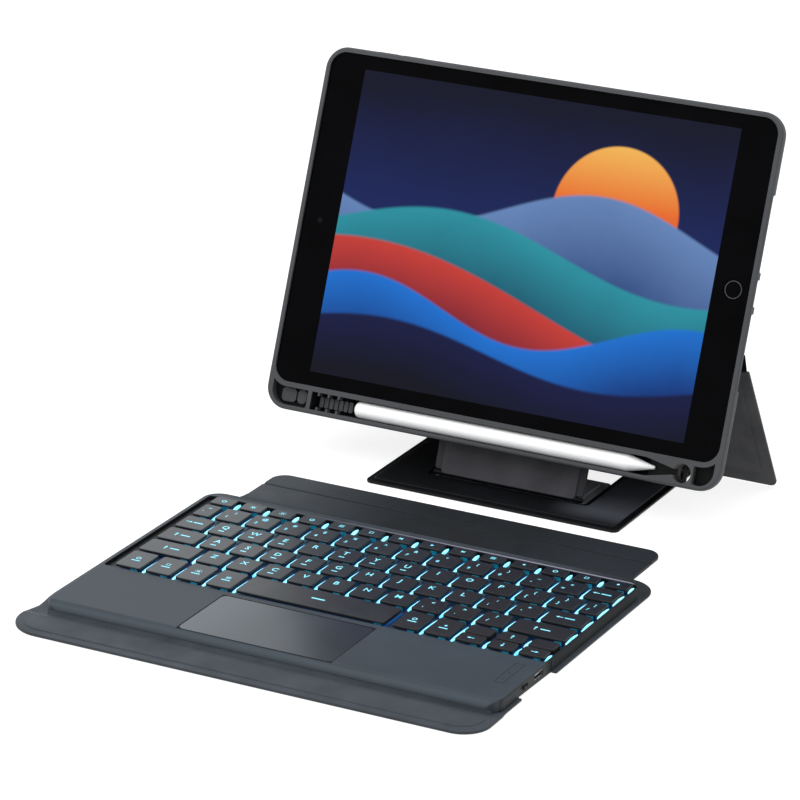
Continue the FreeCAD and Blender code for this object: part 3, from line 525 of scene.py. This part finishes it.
# room: white to the eye and in reflections, soft fill otherwise
roomSet = {
    "fill": 0.55,
    "floorCells": 4,
    "floorSize": 7.0,
    "floorDrop": 0.15,
    "floorShine": (0.15, 0.84),
    "floorColour": (0.3, 0.3, 0.3, 1.0),
    "aim": (0.0, 0.0, 0.06),
    "lamps": [  # name, place, size and power
        ("leftBox", (-1.1, -0.9, 1.5), 1.4, 26.0),
        ("topBox", (0.2, 0.1, 1.9), 1.6, 20.0),
        ("rightBox", (1.3, -1.2, 0.9), 1.2, 9.0),
    ],
}


# a strength for what the eye sees, itself or mirrored, and another for the light it gives
def seenStrength(tree, hidden, seen):
    path = tree.nodes.new("ShaderNodeLightPath").outputs
    both = addMath(tree, "MAXIMUM", path["Is Camera Ray"], path["Is Glossy Ray"])
    share = addMath(tree, "MAXIMUM", both, path["Is Transmission Ray"])
    return addRange(tree, share, (0.0, 1.0), (hidden, seen))


def moveShape(bm, *shift):
    bmesh.ops.translate(bm, verts=bm.verts, vec=Vector(shift) * mm)


def buildWorld(spec):
    world = bpy.data.worlds.new("paleRoom")
    bpy.context.scene.world = world
    tree, out = clearTree(world, "World")
    back = addNode(tree, "Background", {"Color": (1.0, 1.0, 1.0, 1.0),
                                        "Strength": seenStrength(tree, spec["fill"], 1.0)})
    tree.links.new(back.outputs["Background"], out.inputs["Surface"])


def buildFloor(spec):
    bm = bmesh.new()
    bmesh.ops.create_grid(bm, x_segments=spec["floorCells"], y_segments=spec["floorCells"],
                          size=spec["floorSize"])
    moveShape(bm, 0.0, 0.0, -spec["floorDrop"])
    mesh = bpy.data.meshes.new("paleFloor")
    bm.to_mesh(mesh)
    bm.free()
    finish = bpy.data.materials.new("paleFloor")
    tree, out = clearTree(finish, "Material")
    matte = addNode(tree, "BsdfDiffuse", {"Color": spec["floorColour"]})
    glow = addNode(tree, "Emission", {"Strength": seenStrength(tree, *spec["floorShine"])})
    both = addNode(tree, "AddShader", {0: matte.outputs["BSDF"], 1: glow.outputs["Emission"]})
    tree.links.new(both.outputs["Shader"], out.inputs["Surface"])
    mesh.materials.append(finish)
    linkObject("paleFloor", mesh)


def hangLamps(spec):
    for name, place, size, power in spec["lamps"]:
        light = bpy.data.lights.new(name, "AREA")
        light.shape = "DISK"
        light.size = size
        light.energy = power
        holder = linkObject(name, light)
        holder.location = place
        aim = Vector(spec["aim"]) - Vector(place)
        holder.rotation_euler = aim.to_track_quat("-Z", "Y").to_euler()
        holder.visible_glossy = False


bpy.context.scene.view_settings.view_transform = "Standard"
placeCamera(cameraSet)
buildWorld(roomSet)
buildFloor(roomSet)
hangLamps(roomSet)
print("camera, floor and lamps placed")


# turn a bmesh into a finished piece of the object
def addPiece(bm, name, finishName, body=None, place=None, smoothAll=False):
    flatLimit = 0.9995  # faces along an axis stay flat
    bmesh.ops.remove_doubles(bm, verts=bm.verts, dist=weldDistance)
    bmesh.ops.recalc_face_normals(bm, faces=bm.faces)
    for face in bm.faces:
        steep = max(abs(part) for part in face.normal)
        face.smooth = smoothAll or steep < flatLimit
    if place is not None:
        bmesh.ops.transform(bm, matrix=place, verts=bm.verts)
    mesh = bpy.data.meshes.new(name)
    bm.to_mesh(mesh)
    bm.free()
    mesh.materials.append(finishes[finishName])
    piece = linkObject(name, mesh)
    if body is not None:
        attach(piece, body)
    return piece


# a plan of cells from lines in x and y, with some cells left open, drawn up into a slab
def planSlab(xs, ys, openCells, low, high):
    bm = bmesh.new()
    columns, rows = len(xs) - 1, len(ys) - 1
    bmesh.ops.create_grid(bm, x_segments=columns, y_segments=rows, size=0.5)
    for vert in bm.verts:
        x = xs[round((vert.co.x + 0.5) * columns)]
        y = ys[round((vert.co.y + 0.5) * rows)]
        vert.co = Vector((x, y, low)) * mm
    gone = []
    for face in bm.faces:
        spot = face.calc_center_median() / mm
        for column, row in openCells:
            if xs[column] < spot.x < xs[column + 1] and ys[row] < spot.y < ys[row + 1]:
                gone.append(face)
    bmesh.ops.delete(bm, geom=gone, context="FACES")
    raised = bmesh.ops.extrude_face_region(bm, geom=bm.faces[:])
    lifted = [part for part in raised["geom"] if isinstance(part, bmesh.types.BMVert)]
    bmesh.ops.translate(bm, verts=lifted, vec=(0.0, 0.0, (high - low) * mm))
    bmesh.ops.recalc_face_normals(bm, faces=bm.faces)
    return bm


def bevelEdges(bm, edges, size, segments):
    bmesh.ops.bevel(bm, geom=edges, offset=size * mm, segments=segments, profile=0.5,
                    affect="EDGES", material=-1)


# round the upright edges that stand on these spots of the plan
def roundCorners(bm, spots, radius, segments=10):
    shortest, upright, near = 0.0002, 0.00001, 0.00002
    edges = []
    for edge in bm.edges:
        first, last = (vert.co for vert in edge.verts)
        if abs(first.z - last.z) < shortest or (first.xy - last.xy).length > upright:
            continue
        if any((first.xy - Vector(spot) * mm).length < near for spot in spots):
            edges.append(edge)
    bevelEdges(bm, edges, radius, segments)


# ease the outer rim between the walls and the level sides, upper or lower
def easeRims(bm, size, sides):
    level, segments = 0.999, 3
    for up in sides:
        bm.normal_update()
        side = {face for face in bm.faces if face.normal.z * up > level}
        rim = [edge for edge in bm.edges if len(edge.link_faces) == 2 and
               len(side.intersection(edge.link_faces)) == 1]
        bevelEdges(bm, rim, size, segments)


# join another bmesh into this one
def joinShape(bm, other):
    carry = bpy.data.meshes.new("carry")
    other.to_mesh(carry)
    other.free()
    bm.from_mesh(carry)
    bpy.data.meshes.remove(carry)


# round a slab's corners, each given by columns and rows of its plan, a radius and perhaps
# a number of steps, and ease its rims
def easeSlab(bm, slab):
    xs, ys = slab["xs"], slab["ys"]
    for columns, rows, *rounding in slab["corners"]:
        spots = [(xs[column], ys[row]) for column in columns for row in rows]
        roundCorners(bm, spots, *rounding)
    easeRims(bm, slab["rim"], slab.get("sides", (1, -1)))


def easedSlab(slab):
    bm = planSlab(slab["xs"], slab["ys"], slab.get("open", ()), slab["low"], slab["high"])
    easeSlab(bm, slab)
    return bm


# leatherette over stiff boards: a thin skin with eased rims, and the board standing up
# inside its pressed margin
ends, mids = (0, -1), (1, 2)
panelSets = [
    # base plate with its window, lying on the table
    {"name": "baseSkin", "body": "easel_base", "node": "base_cover",
     "slabs": [{"xs": (-59.4, -32.1, 51.7, 80.4), "ys": (73.4, 97.25, 152.98, 170.18),
                "open": [(1, 1)], "low": 0.0, "high": 1.5, "rim": 0.4,
                "corners": [(ends, ends, 3.5), (mids, mids, 2.0)]},
               {"xs": (-56.2, -35.0, 54.6, 77.2), "ys": (76.4, 94.4, 155.8, 165.4),
                "open": [(1, 1)], "low": 0.5, "high": 2.4, "rim": 0.6,
                "corners": [(ends, ends, 2.4), (mids, mids, 2.4)]}]},
    # flap in the window
    {"name": "flapSkin", "body": "easel_base", "node": "base_flap",
     "slabs": [{"xs": (-31.9, 51.5), "ys": (97.25, 130.25), "low": 0.0, "high": 1.2,
                "rim": 0.35, "corners": [(ends, ends, 2.0)]},
               {"xs": (-27.8, 47.4), "ys": (101.6, 126.2), "low": 0.4, "high": 2.0,
                "rim": 0.55, "corners": [(ends, ends, 2.0)]}]},
    # riser, the upright panel, and its own inner board
    {"name": "riserEdge", "body": "riser", "node": "riser_cover", "place": riserPlace,
     "slabs": [{"xs": (-41.3, 41.3), "ys": (1.5, 32.0), "low": -1.3, "high": 0.4,
                "rim": 0.4, "corners": [(ends, ends, 1.5)]}]},
    {"name": "riserPanel", "finish": "riserSkin", "body": "riser", "place": riserPlace,
     "slabs": [{"xs": (-37.4, 37.4), "ys": (-0.4, 29.0), "low": 0.0, "high": 1.3,
                "rim": 0.5, "corners": [(ends, ends, 2.2)]}]},
    # leg, cut away at its foot for the base
    {"name": "legSkin", "body": "leg", "node": "leg_cover", "place": legPlace,
     "slabs": [{"xs": (-124.8, -60.3, 79.3, 124.8), "ys": (-3.6, 1.5, 83.5),
                "open": [(1, 0)], "low": -0.75, "high": 0.75, "rim": 0.35,
                "corners": [(ends, (0,), 4.0), (ends, (2,), 1.0), (mids, (0, 1), 2.0)]},
               {"xs": (-118.6, 118.6), "ys": (6.4, 77.6), "low": -1.2, "high": 1.2,
                "rim": 0.45, "corners": [(ends, ends, 3.0)]}]},
    # back of the tray, cut away at the camera, with a thin leaf glued beside the leg's hinge
    {"name": "backSkin", "finish": "easelSkin", "body": "tray", "node": "back_skin",
     "place": trayPlace,
     "slabs": [{"xs": (-117.7, -105.8, 117.7), "ys": (-91.05, 67.55, 79.45),
                "open": [(0, 1)], "low": -12.1, "high": -9.9, "rim": 0.5,
                "corners": [(ends, (0,), 3.2), (mids, (2,), 3.2), ((0,), (1,), 3.2),
                            ((1,), (1,), 6.9)]},
               {"xs": (-114.7, -102.8, 114.7), "ys": (-88.05, 64.55, 76.45),
                "open": [(0, 1)], "low": -12.8, "high": -10.4, "rim": 0.6,
                "corners": [(ends, (0,), 3.0), (mids, (2,), 3.0), ((0,), (1,), 3.0),
                            ((1,), (1,), 6.9)]}],
     "leaf": {"xs": (-124.8, 124.8), "ys": (-38.2, -30.2), "low": -12.8, "high": -12.1,
              "slant": 2.6}},
]


def slantLeaf(spec):
    leaf = planSlab(spec["xs"], spec["ys"], [], spec["low"], spec["high"])
    middle = sum(spec["ys"]) / 2 * mm
    for vert in leaf.verts:
        if vert.co.y > middle:
            vert.co.x -= math.copysign(spec["slant"] * mm, vert.co.x)
    return leaf


def makePanel(spec):
    bm = bmesh.new()
    for slab in spec["slabs"]:
        joinShape(bm, easedSlab(slab))
    if "leaf" in spec:
        joinShape(bm, slantLeaf(spec["leaf"]))
    finishName = spec.get("finish", spec["name"])
    piece = addPiece(bm, spec["name"], finishName, spec["body"],
                     spec.get("place"))
    if "node" in spec:
        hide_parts(spec["node"])


for spec in panelSets:
    makePanel(spec)

# leatherette rolls on which the leg, the riser and the tray turn
rollShape = {"radius": 1.2, "sides": 20, "ease": 0.4, "easeSteps": 3, "webEnd": 0.3, "webHalf": 0.5}
rollSet = [
    {"name": "footRoll", "node": "leg_foot_crease", "body": "easel_base", "place": None,
     "left": -59.4, "right": 79.0, "along": 167.9803, "height": 3.9, "web": (-1.5, 0.0)},
    {"name": "riserRoll", "node": "riser_crease", "body": "easel_base", "place": None,
     "left": -31.5, "right": 51.1, "along": 96.2543, "height": 3.9, "web": (-1.5, 0.0)},
    {"name": "trayRoll", "node": "leg_top_crease", "body": "tray", "place": trayPlace,
     "left": -117.8, "right": 117.8, "along": -37.2, "height": -14.3, "web": (0.0, 1.5)},
]


def drawRod(radius, depth, sides, turn=Matrix()):
    bm = bmesh.new()
    bmesh.ops.create_cone(bm, cap_ends=True, segments=sides, radius1=radius * mm,
                          radius2=radius * mm, depth=depth * mm, matrix=turn)
    return bm


def makeRoll(spec, shape):
    left, right, along, height = (spec[key] for key in ("left", "right", "along", "height"))
    bm = drawRod(shape["radius"], right - left, shape["sides"],
                 Matrix.Rotation(math.pi / 2, 4, "Y"))
    rims = [edge for edge in bm.edges
            if abs(edge.verts[0].co.x - edge.verts[1].co.x) < weldDistance]
    bevelEdges(bm, rims, shape["ease"], shape["easeSteps"])
    moveShape(bm, (left + right) / 2, along, height)
    low, high = spec["web"]
    joinShape(bm, planSlab((left + shape["webEnd"], right - shape["webEnd"]),
                           (along - shape["webHalf"], along + shape["webHalf"]), [],
                           height + low, height + high))
    piece = addPiece(bm, spec["name"], "easelSkin", spec["body"],
                     spec["place"])
    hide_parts(spec["node"])


for spec in rollSet:
    makeRoll(spec, rollShape)
print("easel skins made")


# how much a list of (place, amount) pairs gives at one place
def amountAt(steps, along):
    for (first, before), (last, after) in zip(steps, steps[1:]):
        if first <= along <= last:
            return before + (after - before) * (along - first) / (last - first)
    return 0.0


# lift a flat slab's two sides to heights given along y
def followProfile(bm, high, profile):
    floors = [(along, under) for along, under, over in profile]
    tops = [(along, over) for along, under, over in profile]
    for vert in bm.verts:
        along = min(max(vert.co.y / mm, profile[0][0]), profile[-1][0])
        floor, top = amountAt(floors, along), amountAt(tops, along)
        vert.co.z = (floor + (top - floor) * vert.co.z / mm / high) * mm


# draw a sheet's sides in by its waists and lift it to its profile
def bendSheet(bm, spec):
    sideFrom = 100.0  # the sides lie further out than this
    for vert in bm.verts:
        if abs(vert.co.x) > sideFrom * mm:
            waist = spec["leftWaist" if vert.co.x < 0.0 else "rightWaist"]
            vert.co.x -= math.copysign(mm, vert.co.x) * amountAt(waist, vert.co.y / mm)
    followProfile(bm, spec["high"], spec["profile"])


# keyboard underside, its flange and the front lip in one sheet, creased along the front
coverSet = {
    "xs": (-119.1, 124.0, 126.9),
    "ys": (-171.45, -152.3, -151.4, -150.4, -149.65, -149.2, -148.75, -148.45, -148.1, -147.7,
           -147.25, -146.3, -144.0, -141.0, -136.0, -130.0, -124.65, -91.25, 23.65),
    "high": 1.0, "notch": (1, 16), "lineAside": 92.0, "slack": 0.1,
    "profile": [(-171.45, 0.2, 1.6), (-151.4, 0.2, 1.6), (-150.4, 0.25, 1.45),
                (-149.65, 0.3, 1.2), (-148.45, 0.35, 1.0), (-147.25, 0.15, 1.0),
                (-146.3, 0.0, 1.0), (23.65, 0.0, 1.0)],
    "leftWaist": [(-148.45, 0.0), (-144.0, 1.2), (-141.0, 1.9), (-136.0, 1.4), (-130.0, 0.4),
                  (-124.65, 0.0)],
    "rightWaist": [(-148.45, 0.0), (-141.0, 0.8), (-130.0, 0.8), (-124.65, 0.8)],
    "rim": 0.3, "corners": [((0,), (0,), 18.4, 14), ((2,), (0,), 13.8, 14), ((0,), (-1,), 9.0, 14),
                            ((2,), (-1,), 15.0, 14), ((2,), (16, 17), 0.9, 4)],
    "lip": {"xs": (-114.8, 122.6), "ys": (-167.0, -152.0), "low": 0.6, "high": 2.0, "rim": 0.55,
            "sides": (1,), "corners": [(ends, (0,), 12.2, 12), (ends, (1,), 2.4, 6)]},
    "foldStart": (3.9, -147.25, 1.1), "foldEnd": (3.9, -149.65, 1.1),
    "welt": {"xs": (-108.5, 121.5), "ys": (-147.7, -147.4, -147.0, -146.7, -146.5), "high": 1.0,
             "profile": [(-147.7, 0.8, 1.02), (-147.4, 0.8, 1.2), (-147.0, 0.8, 1.7),
                         (-146.7, 0.8, 2.2), (-146.5, 0.8, 2.6)]},
}


def makeKeyboardSkin(spec):
    xs, ys = spec["xs"], spec["ys"]
    slack = spec["slack"]
    bm = planSlab(xs, ys, [spec["notch"]], 0.0, spec["high"])
    low, high = (ys[spec["notch"][1] + step] for step in (0, 1))
    for vert in bm.verts:  # the notch's line leaves the rounded corners
        x, y = vert.co.x / mm, vert.co.y / mm
        if abs(x - xs[1]) < slack and not low - slack < y < high + slack:
            vert.co.x = spec["lineAside"] * mm
    easeSlab(bm, spec)
    bendSheet(bm, spec)
    joinShape(bm, easedSlab(spec["lip"]))
    piece = addPiece(bm, "keyboardSkin", "keyboardSkin")
    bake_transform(piece)
    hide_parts("keyboard_cover", "flap_crease", "front_flap")
    welt = spec["welt"]  # leatherette turned up against the deck's front
    bm = planSlab(welt["xs"], welt["ys"], [], 0.0, welt["high"])
    followProfile(bm, welt["high"], welt["profile"])
    addPiece(bm, "noseWelt", "keyboardSkin", "keyboard")


makeKeyboardSkin(coverSet)

# strip behind the keys, with its docking edge past the crease
stripSet = {
    "xs": (-101.1, 111.9),
    "ys": (23.65, 24.3, 25.2, 26.6, 28.9, 34.0, 42.0, 42.85, 43.35, 43.75, 44.05, 44.4, 44.8,
           45.25, 46.1, 59.65),
    "low": 0.0, "high": 1.8,
    "leftWaist": [(23.65, -2.4), (24.3, -1.6), (25.2, -0.9), (26.6, -0.3), (28.9, 0.0)],
    "rightWaist": [],
    "profile": [(23.65, 0.0, 1.0), (25.2, 0.0, 1.5), (26.6, 0.0, 1.8), (42.0, 0.0, 1.8),
                (42.85, 0.05, 1.65), (44.05, 0.3, 1.2), (45.25, 0.1, 1.65), (46.1, 0.05, 1.85),
                (59.65, 0.05, 1.85)],
    "rim": 0.45, "corners": [(ends, (-1,), 8.0, 12)],
    "foldStart": (5.4, 42.85, 0.95), "foldEnd": (5.4, 45.25, 0.95),
}


def makeStrip(spec):
    bm = easedSlab(spec)
    bendSheet(bm, spec)
    piece = addPiece(bm, "stripSkin", "stripSkin")
    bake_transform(piece)
    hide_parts("strip_cover", "strip_crease", "dock_edge")


makeStrip(stripSet)
print("keyboard skins made")


# the box of every key in a node, in millimetres, found from its loose solids
def keyBoxes(nodeName):
    bm = bmesh.new()
    bm.from_mesh(cadNodes[nodeName].data)
    bmesh.ops.remove_doubles(bm, verts=bm.verts, dist=weldDistance)
    waiting = set(bm.verts)
    boxes = []
    while waiting:
        heap, spots = [waiting.pop()], []
        while heap:
            vert = heap.pop()
            spots.append(vert.co)
            near = waiting.intersection(edge.other_vert(vert) for edge in vert.link_edges)
            waiting -= near
            heap.extend(near)
        boxes.append([Vector([pick(axis) for axis in zip(*spots)]) / mm for pick in (min, max)])
    bm.free()
    boxes.sort(key=lambda box: (round(box[0].x, 1), -box[0].y))
    if nodeName == "arrow_keys":  # left and right are as short as down
        left, _, down, right = boxes
        left[1].y = right[1].y = down[1].y
    return boxes


# arrow caps, and the fixed blanks behind the two outer ones
guideTop = 4.9
arrowSet = {"rim": 0.35, "sides": (1,), "corners": [(ends, ends, 1.3, 6)],
            "cap": {"low": 6.7, "high": 8.0}, "blank": {"low": guideTop, "high": 7.9}}


def drawCaps(spec, heights, plans):
    bm = bmesh.new()
    for xs, ys in plans:
        joinShape(bm, easedSlab({**spec, **heights, "xs": xs, "ys": ys}))
    return bm


def makeArrows(spec):
    plans = [((low.x, high.x), (low.y, high.y)) for low, high in keyBoxes("arrow_keys")]
    bm = drawCaps(spec, spec["cap"], plans)
    piece = addPiece(bm, "arrowCaps", "keyPlastic", "arrow_keys")
    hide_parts("arrow_keys")
    left, up, _, right = plans
    bm = drawCaps(spec, spec["blank"], [(left[0], up[1]), (right[0], up[1])])
    addPiece(bm, "arrowBlanks", "keyPlastic", "keyboard")


makeArrows(arrowSet)

# lit ridges of the light guide beside the keys, and short dashes in front of them;
# keys that end past the wall line are the last of their rows
wallLine = 121.0
ridgeSets = [
    {"name": "glowRidges", "finish": "ribGlow", "gap": 0.95, "width": 0.95, "high": 6.9,
     "endGap": 0.5, "taper": (0.4, 0.75, 0.9, 1.0, 0.6), "span": (-math.inf, wallLine),
     "nodes": [name for name in keyNodes[1:] if name != "space_bar"]},
    {"name": "glowDrops", "finish": "ribGlow", "gap": 0.5, "width": 1.3, "high": 6.95,
     "endGap": 0.5, "taper": (0.35, 0.85, 1.0, 0.9, 0.45), "span": (-math.inf, wallLine),
     "nodes": keyNodes[:1]},
    {"name": "glowEnds", "finish": "ribGlow", "gap": 0.1, "width": 0.9, "high": 7.15,
     "endGap": 0.7, "taper": (0.3, 0.75, 1.0, 0.8, 0.4), "span": (wallLine, math.inf),
     "nodes": [name for name in keyNodes if name != "space_bar"]},
    {"name": "glowFeet", "finish": "footGlow", "gap": 0.1, "width": 0.75, "high": 6.45,
     "endGap": 0.3, "taper": (0.5, 1.0, 1.0, 1.0, 0.5), "span": (-math.inf, math.inf),
     "nodes": keyNodes},
]
ridgeSides = 8
dashSet = {"endGap": 1.2, "length": 3.4, "gap": 0.12, "width": 0.35, "high": 7.05}


# a rod of one millimetre, its girth following the taper from end to end
def drawTaper(taper):
    bm = drawRod(0.5, 1.0, ridgeSides)
    runs = [edge for edge in bm.edges if abs(edge.verts[0].co.z - edge.verts[1].co.z) > mm / 2]
    bmesh.ops.subdivide_edges(bm, edges=runs, cuts=len(taper) - 2, use_grid_fill=True)
    for vert in bm.verts:
        girth = taper[round((vert.co.z / mm + 0.5) * (len(taper) - 1))]
        vert.co.x *= girth
        vert.co.y *= girth
    return bm


# stretch and place something of one millimetre so that it stands on the light guide
def guideFit(spec, x, y, wide, deep):
    size = Matrix.Diagonal((wide, deep, spec["high"] - guideTop, 1.0))
    return Matrix.Translation(Vector((x, y, (spec["high"] + guideTop) / 2)) * mm) @ size


def makeRidges(spec):
    bm = bmesh.new()
    start, end = spec["span"]
    wide = spec["width"]
    for nodeName in spec["nodes"]:
        for low, high in keyBoxes(nodeName):
            if not start < high.x < end:
                continue
            fit = guideFit(spec, high.x + spec["gap"] + wide / 2, (low.y + high.y) / 2, wide,
                           high.y - low.y - 2 * spec["endGap"])
            shape = drawTaper(spec["taper"])
            bmesh.ops.transform(shape, matrix=fit @ Matrix.Rotation(math.pi / 2, 4, "X"),
                                verts=shape.verts)
            joinShape(bm, shape)
    addPiece(bm, spec["name"], spec["finish"], "keyboard", smoothAll=True)


def makeDashes(spec, nodeNames):
    bm = bmesh.new()
    wide, deep = spec["length"], spec["width"]
    for nodeName in nodeNames:
        for low, high in keyBoxes(nodeName):
            fit = guideFit(spec, high.x - spec["endGap"] - wide / 2,
                           low.y - spec["gap"] - deep / 2, wide, deep)
            bmesh.ops.create_cube(bm, size=mm, matrix=fit)
    addPiece(bm, "glowDashes", "dashGlow", "keyboard")


for spec in ridgeSets:
    makeRidges(spec)
makeDashes(dashSet, keyNodes)
print("light ridges made")

# lit legends: single letters, digits, signs and plain arrows; spots are shares of a key
legendSet = {
    "letter": 5.0, "small": 3.3, "lift": 0.01, "thick": 0.015, "bold": 0.06, "curveSteps": 2,
    "letterSpot": (-0.06, 0.1), "lowSpot": (-0.18, -0.17), "highSpot": (0.0, 0.2),
    "underlined": "QWEASDCFTGYU", "underBar": (3.0, 0.8), "underSpot": (-0.06, -0.22),
    "rows": {
        "number_keys": "`~ 1! 2@ 3# 4$ 5% 6^ 7& 8* 9( 0) -_ =+",
        "upper_letter_keys": "Q W E R T Y U I O P [{ ]} /|",
        "home_letter_keys": "A S D F G H J K L ;: '+",
        "lower_letter_keys": "Z X C V B N M ,< .> /?",
    },
    "signs": {
        "function_keys": "ring sunSmall sun ring bars square back play next bars "
                         "dot ring square dot",
        "modifier_keys": "ringBar squareBar sunBar barsBar ringBar dotBar",
        "arrow_keys": "left up down right",
        "backspace_key": "leftBar", "tab_key": "rightBar", "caps_key": "upBar",
        "enter_key": "leftBar", "left_shift_key": "upBar", "right_shift_key": "upBar",
        "space_bar": "wideBar",
    },
}

# sizes of the signs, millimetres: bars are width and depth, rings outer and inner radius
signSet = {
    "turns": {"right": 0, "up": 90, "left": 180, "down": 270},
    "shaft": (2.4, 0.5), "shaftSpot": (-0.5, 0.0), "head": 1.0, "headSpot": (1.0, 0.0),
    "wideBar": (7.0, 1.1),
    "beside": {"sign": (-3.2, 0.0), "bar": (5.0, 0.9), "spot": (1.8, 0.0)},
    "below": {"sign": (0.0, 1.5), "bar": (4.6, 0.8), "spot": (0.0, -1.5)},
    "ring": (1.3, 0.85), "ringSteps": 20, "dot": 0.75, "dotSteps": 12,
    "sunRing": (0.75, 0.35), "sunSteps": 12, "rays": 8, "ray": (0.55, 0.28),
    "rayReach": {"sun": 1.6, "sunSmall": 1.2},
    "bars": (2.6, 0.4), "barRows": (0.0, -0.9, 0.9),
    "square": (1.5, 1.1),
    "triangle": 1.2, "stop": (0.4, 1.9), "stopSpots": {"next": (1.1, 0.0), "back": (-1.1, 0.0)},
}


def drawLetters(pen, words, size, bold):
    curve = pen.data
    curve.body = words
    curve.size = size * mm
    curve.offset = 0.0 if words == "*" else bold * mm  # a bolder star closes up between its points
    bpy.context.view_layer.update()
    seen = pen.evaluated_get(bpy.context.evaluated_depsgraph_get())
    mesh = bpy.data.meshes.new_from_object(seen)
    bm = bmesh.new()
    bm.from_mesh(mesh)
    bpy.data.meshes.remove(mesh)
    return bm


def drawBar(wide, tall, thick):
    bm = bmesh.new()
    size = Matrix.Diagonal((wide * mm, tall * mm, thick * mm, 1.0))
    bmesh.ops.create_cube(bm, size=1.0, matrix=size)
    return bm


def drawRing(outer, inner, thick, segments):
    bm = bmesh.new()
    half = thick / 2
    section = ((inner, 0, -half), (outer, 0, -half), (outer, 0, half), (inner, 0, half))
    corners = [bm.verts.new(Vector(spot) * mm) for spot in section]
    loop = [bm.edges.new(pair) for pair in zip(corners, corners[1:] + corners[:1])]
    bmesh.ops.spin(bm, geom=corners + loop, cent=(0, 0, 0), axis=(0, 0, 1), dvec=(0, 0, 0),
                   angle=math.tau, steps=segments, use_merge=True, use_duplicate=False)
    bmesh.ops.remove_doubles(bm, verts=bm.verts, dist=weldDistance / 2)
    bmesh.ops.recalc_face_normals(bm, faces=bm.faces)
    return bm


def turnShape(bm, angle):
    turn = Matrix.Rotation(math.radians(angle), 3, "Z")
    bmesh.ops.rotate(bm, verts=bm.verts, cent=(0, 0, 0), matrix=turn)


# a bar at a spot of a sign, turned with it about the middle
def addBar(bm, size, thick, spot=(0.0, 0.0), angle=0):
    bar = drawBar(*size, thick)
    moveShape(bar, *spot, 0)
    turnShape(bar, angle)
    joinShape(bm, bar)


def drawSign(spec, kind, thick):
    bm = bmesh.new()
    if kind == "wideBar":
        addBar(bm, spec["wideBar"], thick)
    elif kind.endswith("Bar"):  # a plain bar stands beside or under the sign
        kind = kind.removesuffix("Bar")
        plan = spec["beside" if kind in spec["turns"] else "below"]
        joinShape(bm, drawSign(spec, kind, thick))
        moveShape(bm, *plan["sign"], 0)
        addBar(bm, plan["bar"], thick, plan["spot"])
    elif kind in spec["turns"]:
        head = drawRod(spec["head"], thick, 3)
        turnShape(head, -90)
        moveShape(head, *spec["headSpot"], 0)
        addBar(bm, spec["shaft"], thick, spec["shaftSpot"])
        joinShape(bm, head)
        turnShape(bm, spec["turns"][kind])
    elif kind == "ring":
        joinShape(bm, drawRing(*spec["ring"], thick, spec["ringSteps"]))
    elif kind == "dot":
        joinShape(bm, drawRod(spec["dot"], thick, spec["dotSteps"]))
    elif kind in spec["rayReach"]:
        joinShape(bm, drawRing(*spec["sunRing"], thick, spec["sunSteps"]))
        for i in range(spec["rays"]):
            spot = (spec["rayReach"][kind], 0.0)
            addBar(bm, spec["ray"], thick, spot, 360 * i / spec["rays"])
    elif kind == "bars":
        for row in spec["barRows"]:
            addBar(bm, spec["bars"], thick, (0.0, row))
    elif kind == "square":
        joinShape(bm, drawRing(*spec["square"], thick, 4))
        turnShape(bm, 45)
    else:  # play, next and back are plain triangles
        joinShape(bm, drawRod(spec["triangle"], thick, 3))
        turnShape(bm, 90 if kind == "back" else -90)
        if kind in spec["stopSpots"]:
            addBar(bm, spec["stop"], thick, spec["stopSpots"][kind])
    return bm


# the shapes on one key, each with its spot
def keyMarks(spec, pen, words):
    bold, thick = spec["bold"], spec["thick"]
    if len(words) == 2:
        spots = (spec["lowSpot"], spec["highSpot"])
        return [(drawLetters(pen, word, spec["small"], bold), spot)
                for word, spot in zip(words, spots)]
    marks = [(drawLetters(pen, words, spec["letter"], bold), spec["letterSpot"])]
    if words in spec["underlined"]:
        marks.append((drawBar(*spec["underBar"], thick), spec["underSpot"]))
    return marks


def makeLegends(spec, signs):
    curve = bpy.data.curves.new("legendPen", "FONT")
    curve.align_x = "CENTER"
    curve.align_y = "CENTER"
    curve.extrude = spec["thick"] / 2 * mm
    curve.resolution_u = spec["curveSteps"]
    pen = linkObject("legendPen", curve)
    for nodeName, legends in {**spec["rows"], **spec["signs"]}.items():
        bm = bmesh.new()
        for legend, (low, high) in zip(legends.split(), keyBoxes(nodeName)):
            middle = (low + high) / 2
            wide, deep = (high - low).xy
            top = high.z + spec["lift"] + spec["thick"] / 2
            if nodeName in spec["rows"]:
                marks = keyMarks(spec, pen, legend)
            else:
                marks = [(drawSign(signs, legend, spec["thick"]), (0.0, 0.0))]
            for shape, (right, back) in marks:
                moveShape(shape, middle.x + right * wide, middle.y + back * deep, top)
                joinShape(bm, shape)
        addPiece(bm, nodeName + "_legends", "legendGlow", nodeName)
    bpy.data.objects.remove(pen)
    bpy.data.curves.remove(curve)


makeLegends(legendSet, signSet)
print("legends made")

# thin trim: ring on the round button, outline round the status lights
trimSet = {
    "homeRing": {"x": 114.7, "outer": 4.5, "inner": 4.05, "height": -0.2, "thick": 0.04,
                 "steps": 40},
    "lightFrame": {"xs": (112.2, 112.5, 116.7, 117.0), "ys": (-126.2, -125.9, -103.6, -103.3),
                   "low": 6.9, "high": 7.02},
}


def makeTrim(spec):
    ring = spec["homeRing"]
    bm = drawRing(ring["outer"], ring["inner"], ring["thick"], ring["steps"])
    moveShape(bm, ring["x"], 0.0, ring["height"] + ring["thick"] / 2)
    addPiece(bm, "homeRing", "tabletMetal", "home_button", trayPlace)
    lines = spec["lightFrame"]
    bm = planSlab(lines["xs"], lines["ys"], [(1, 1)], lines["low"], lines["high"])
    addPiece(bm, "lightFrame", "keyPlastic", "keyboard")


makeTrim(trimSet)
print("trim made")
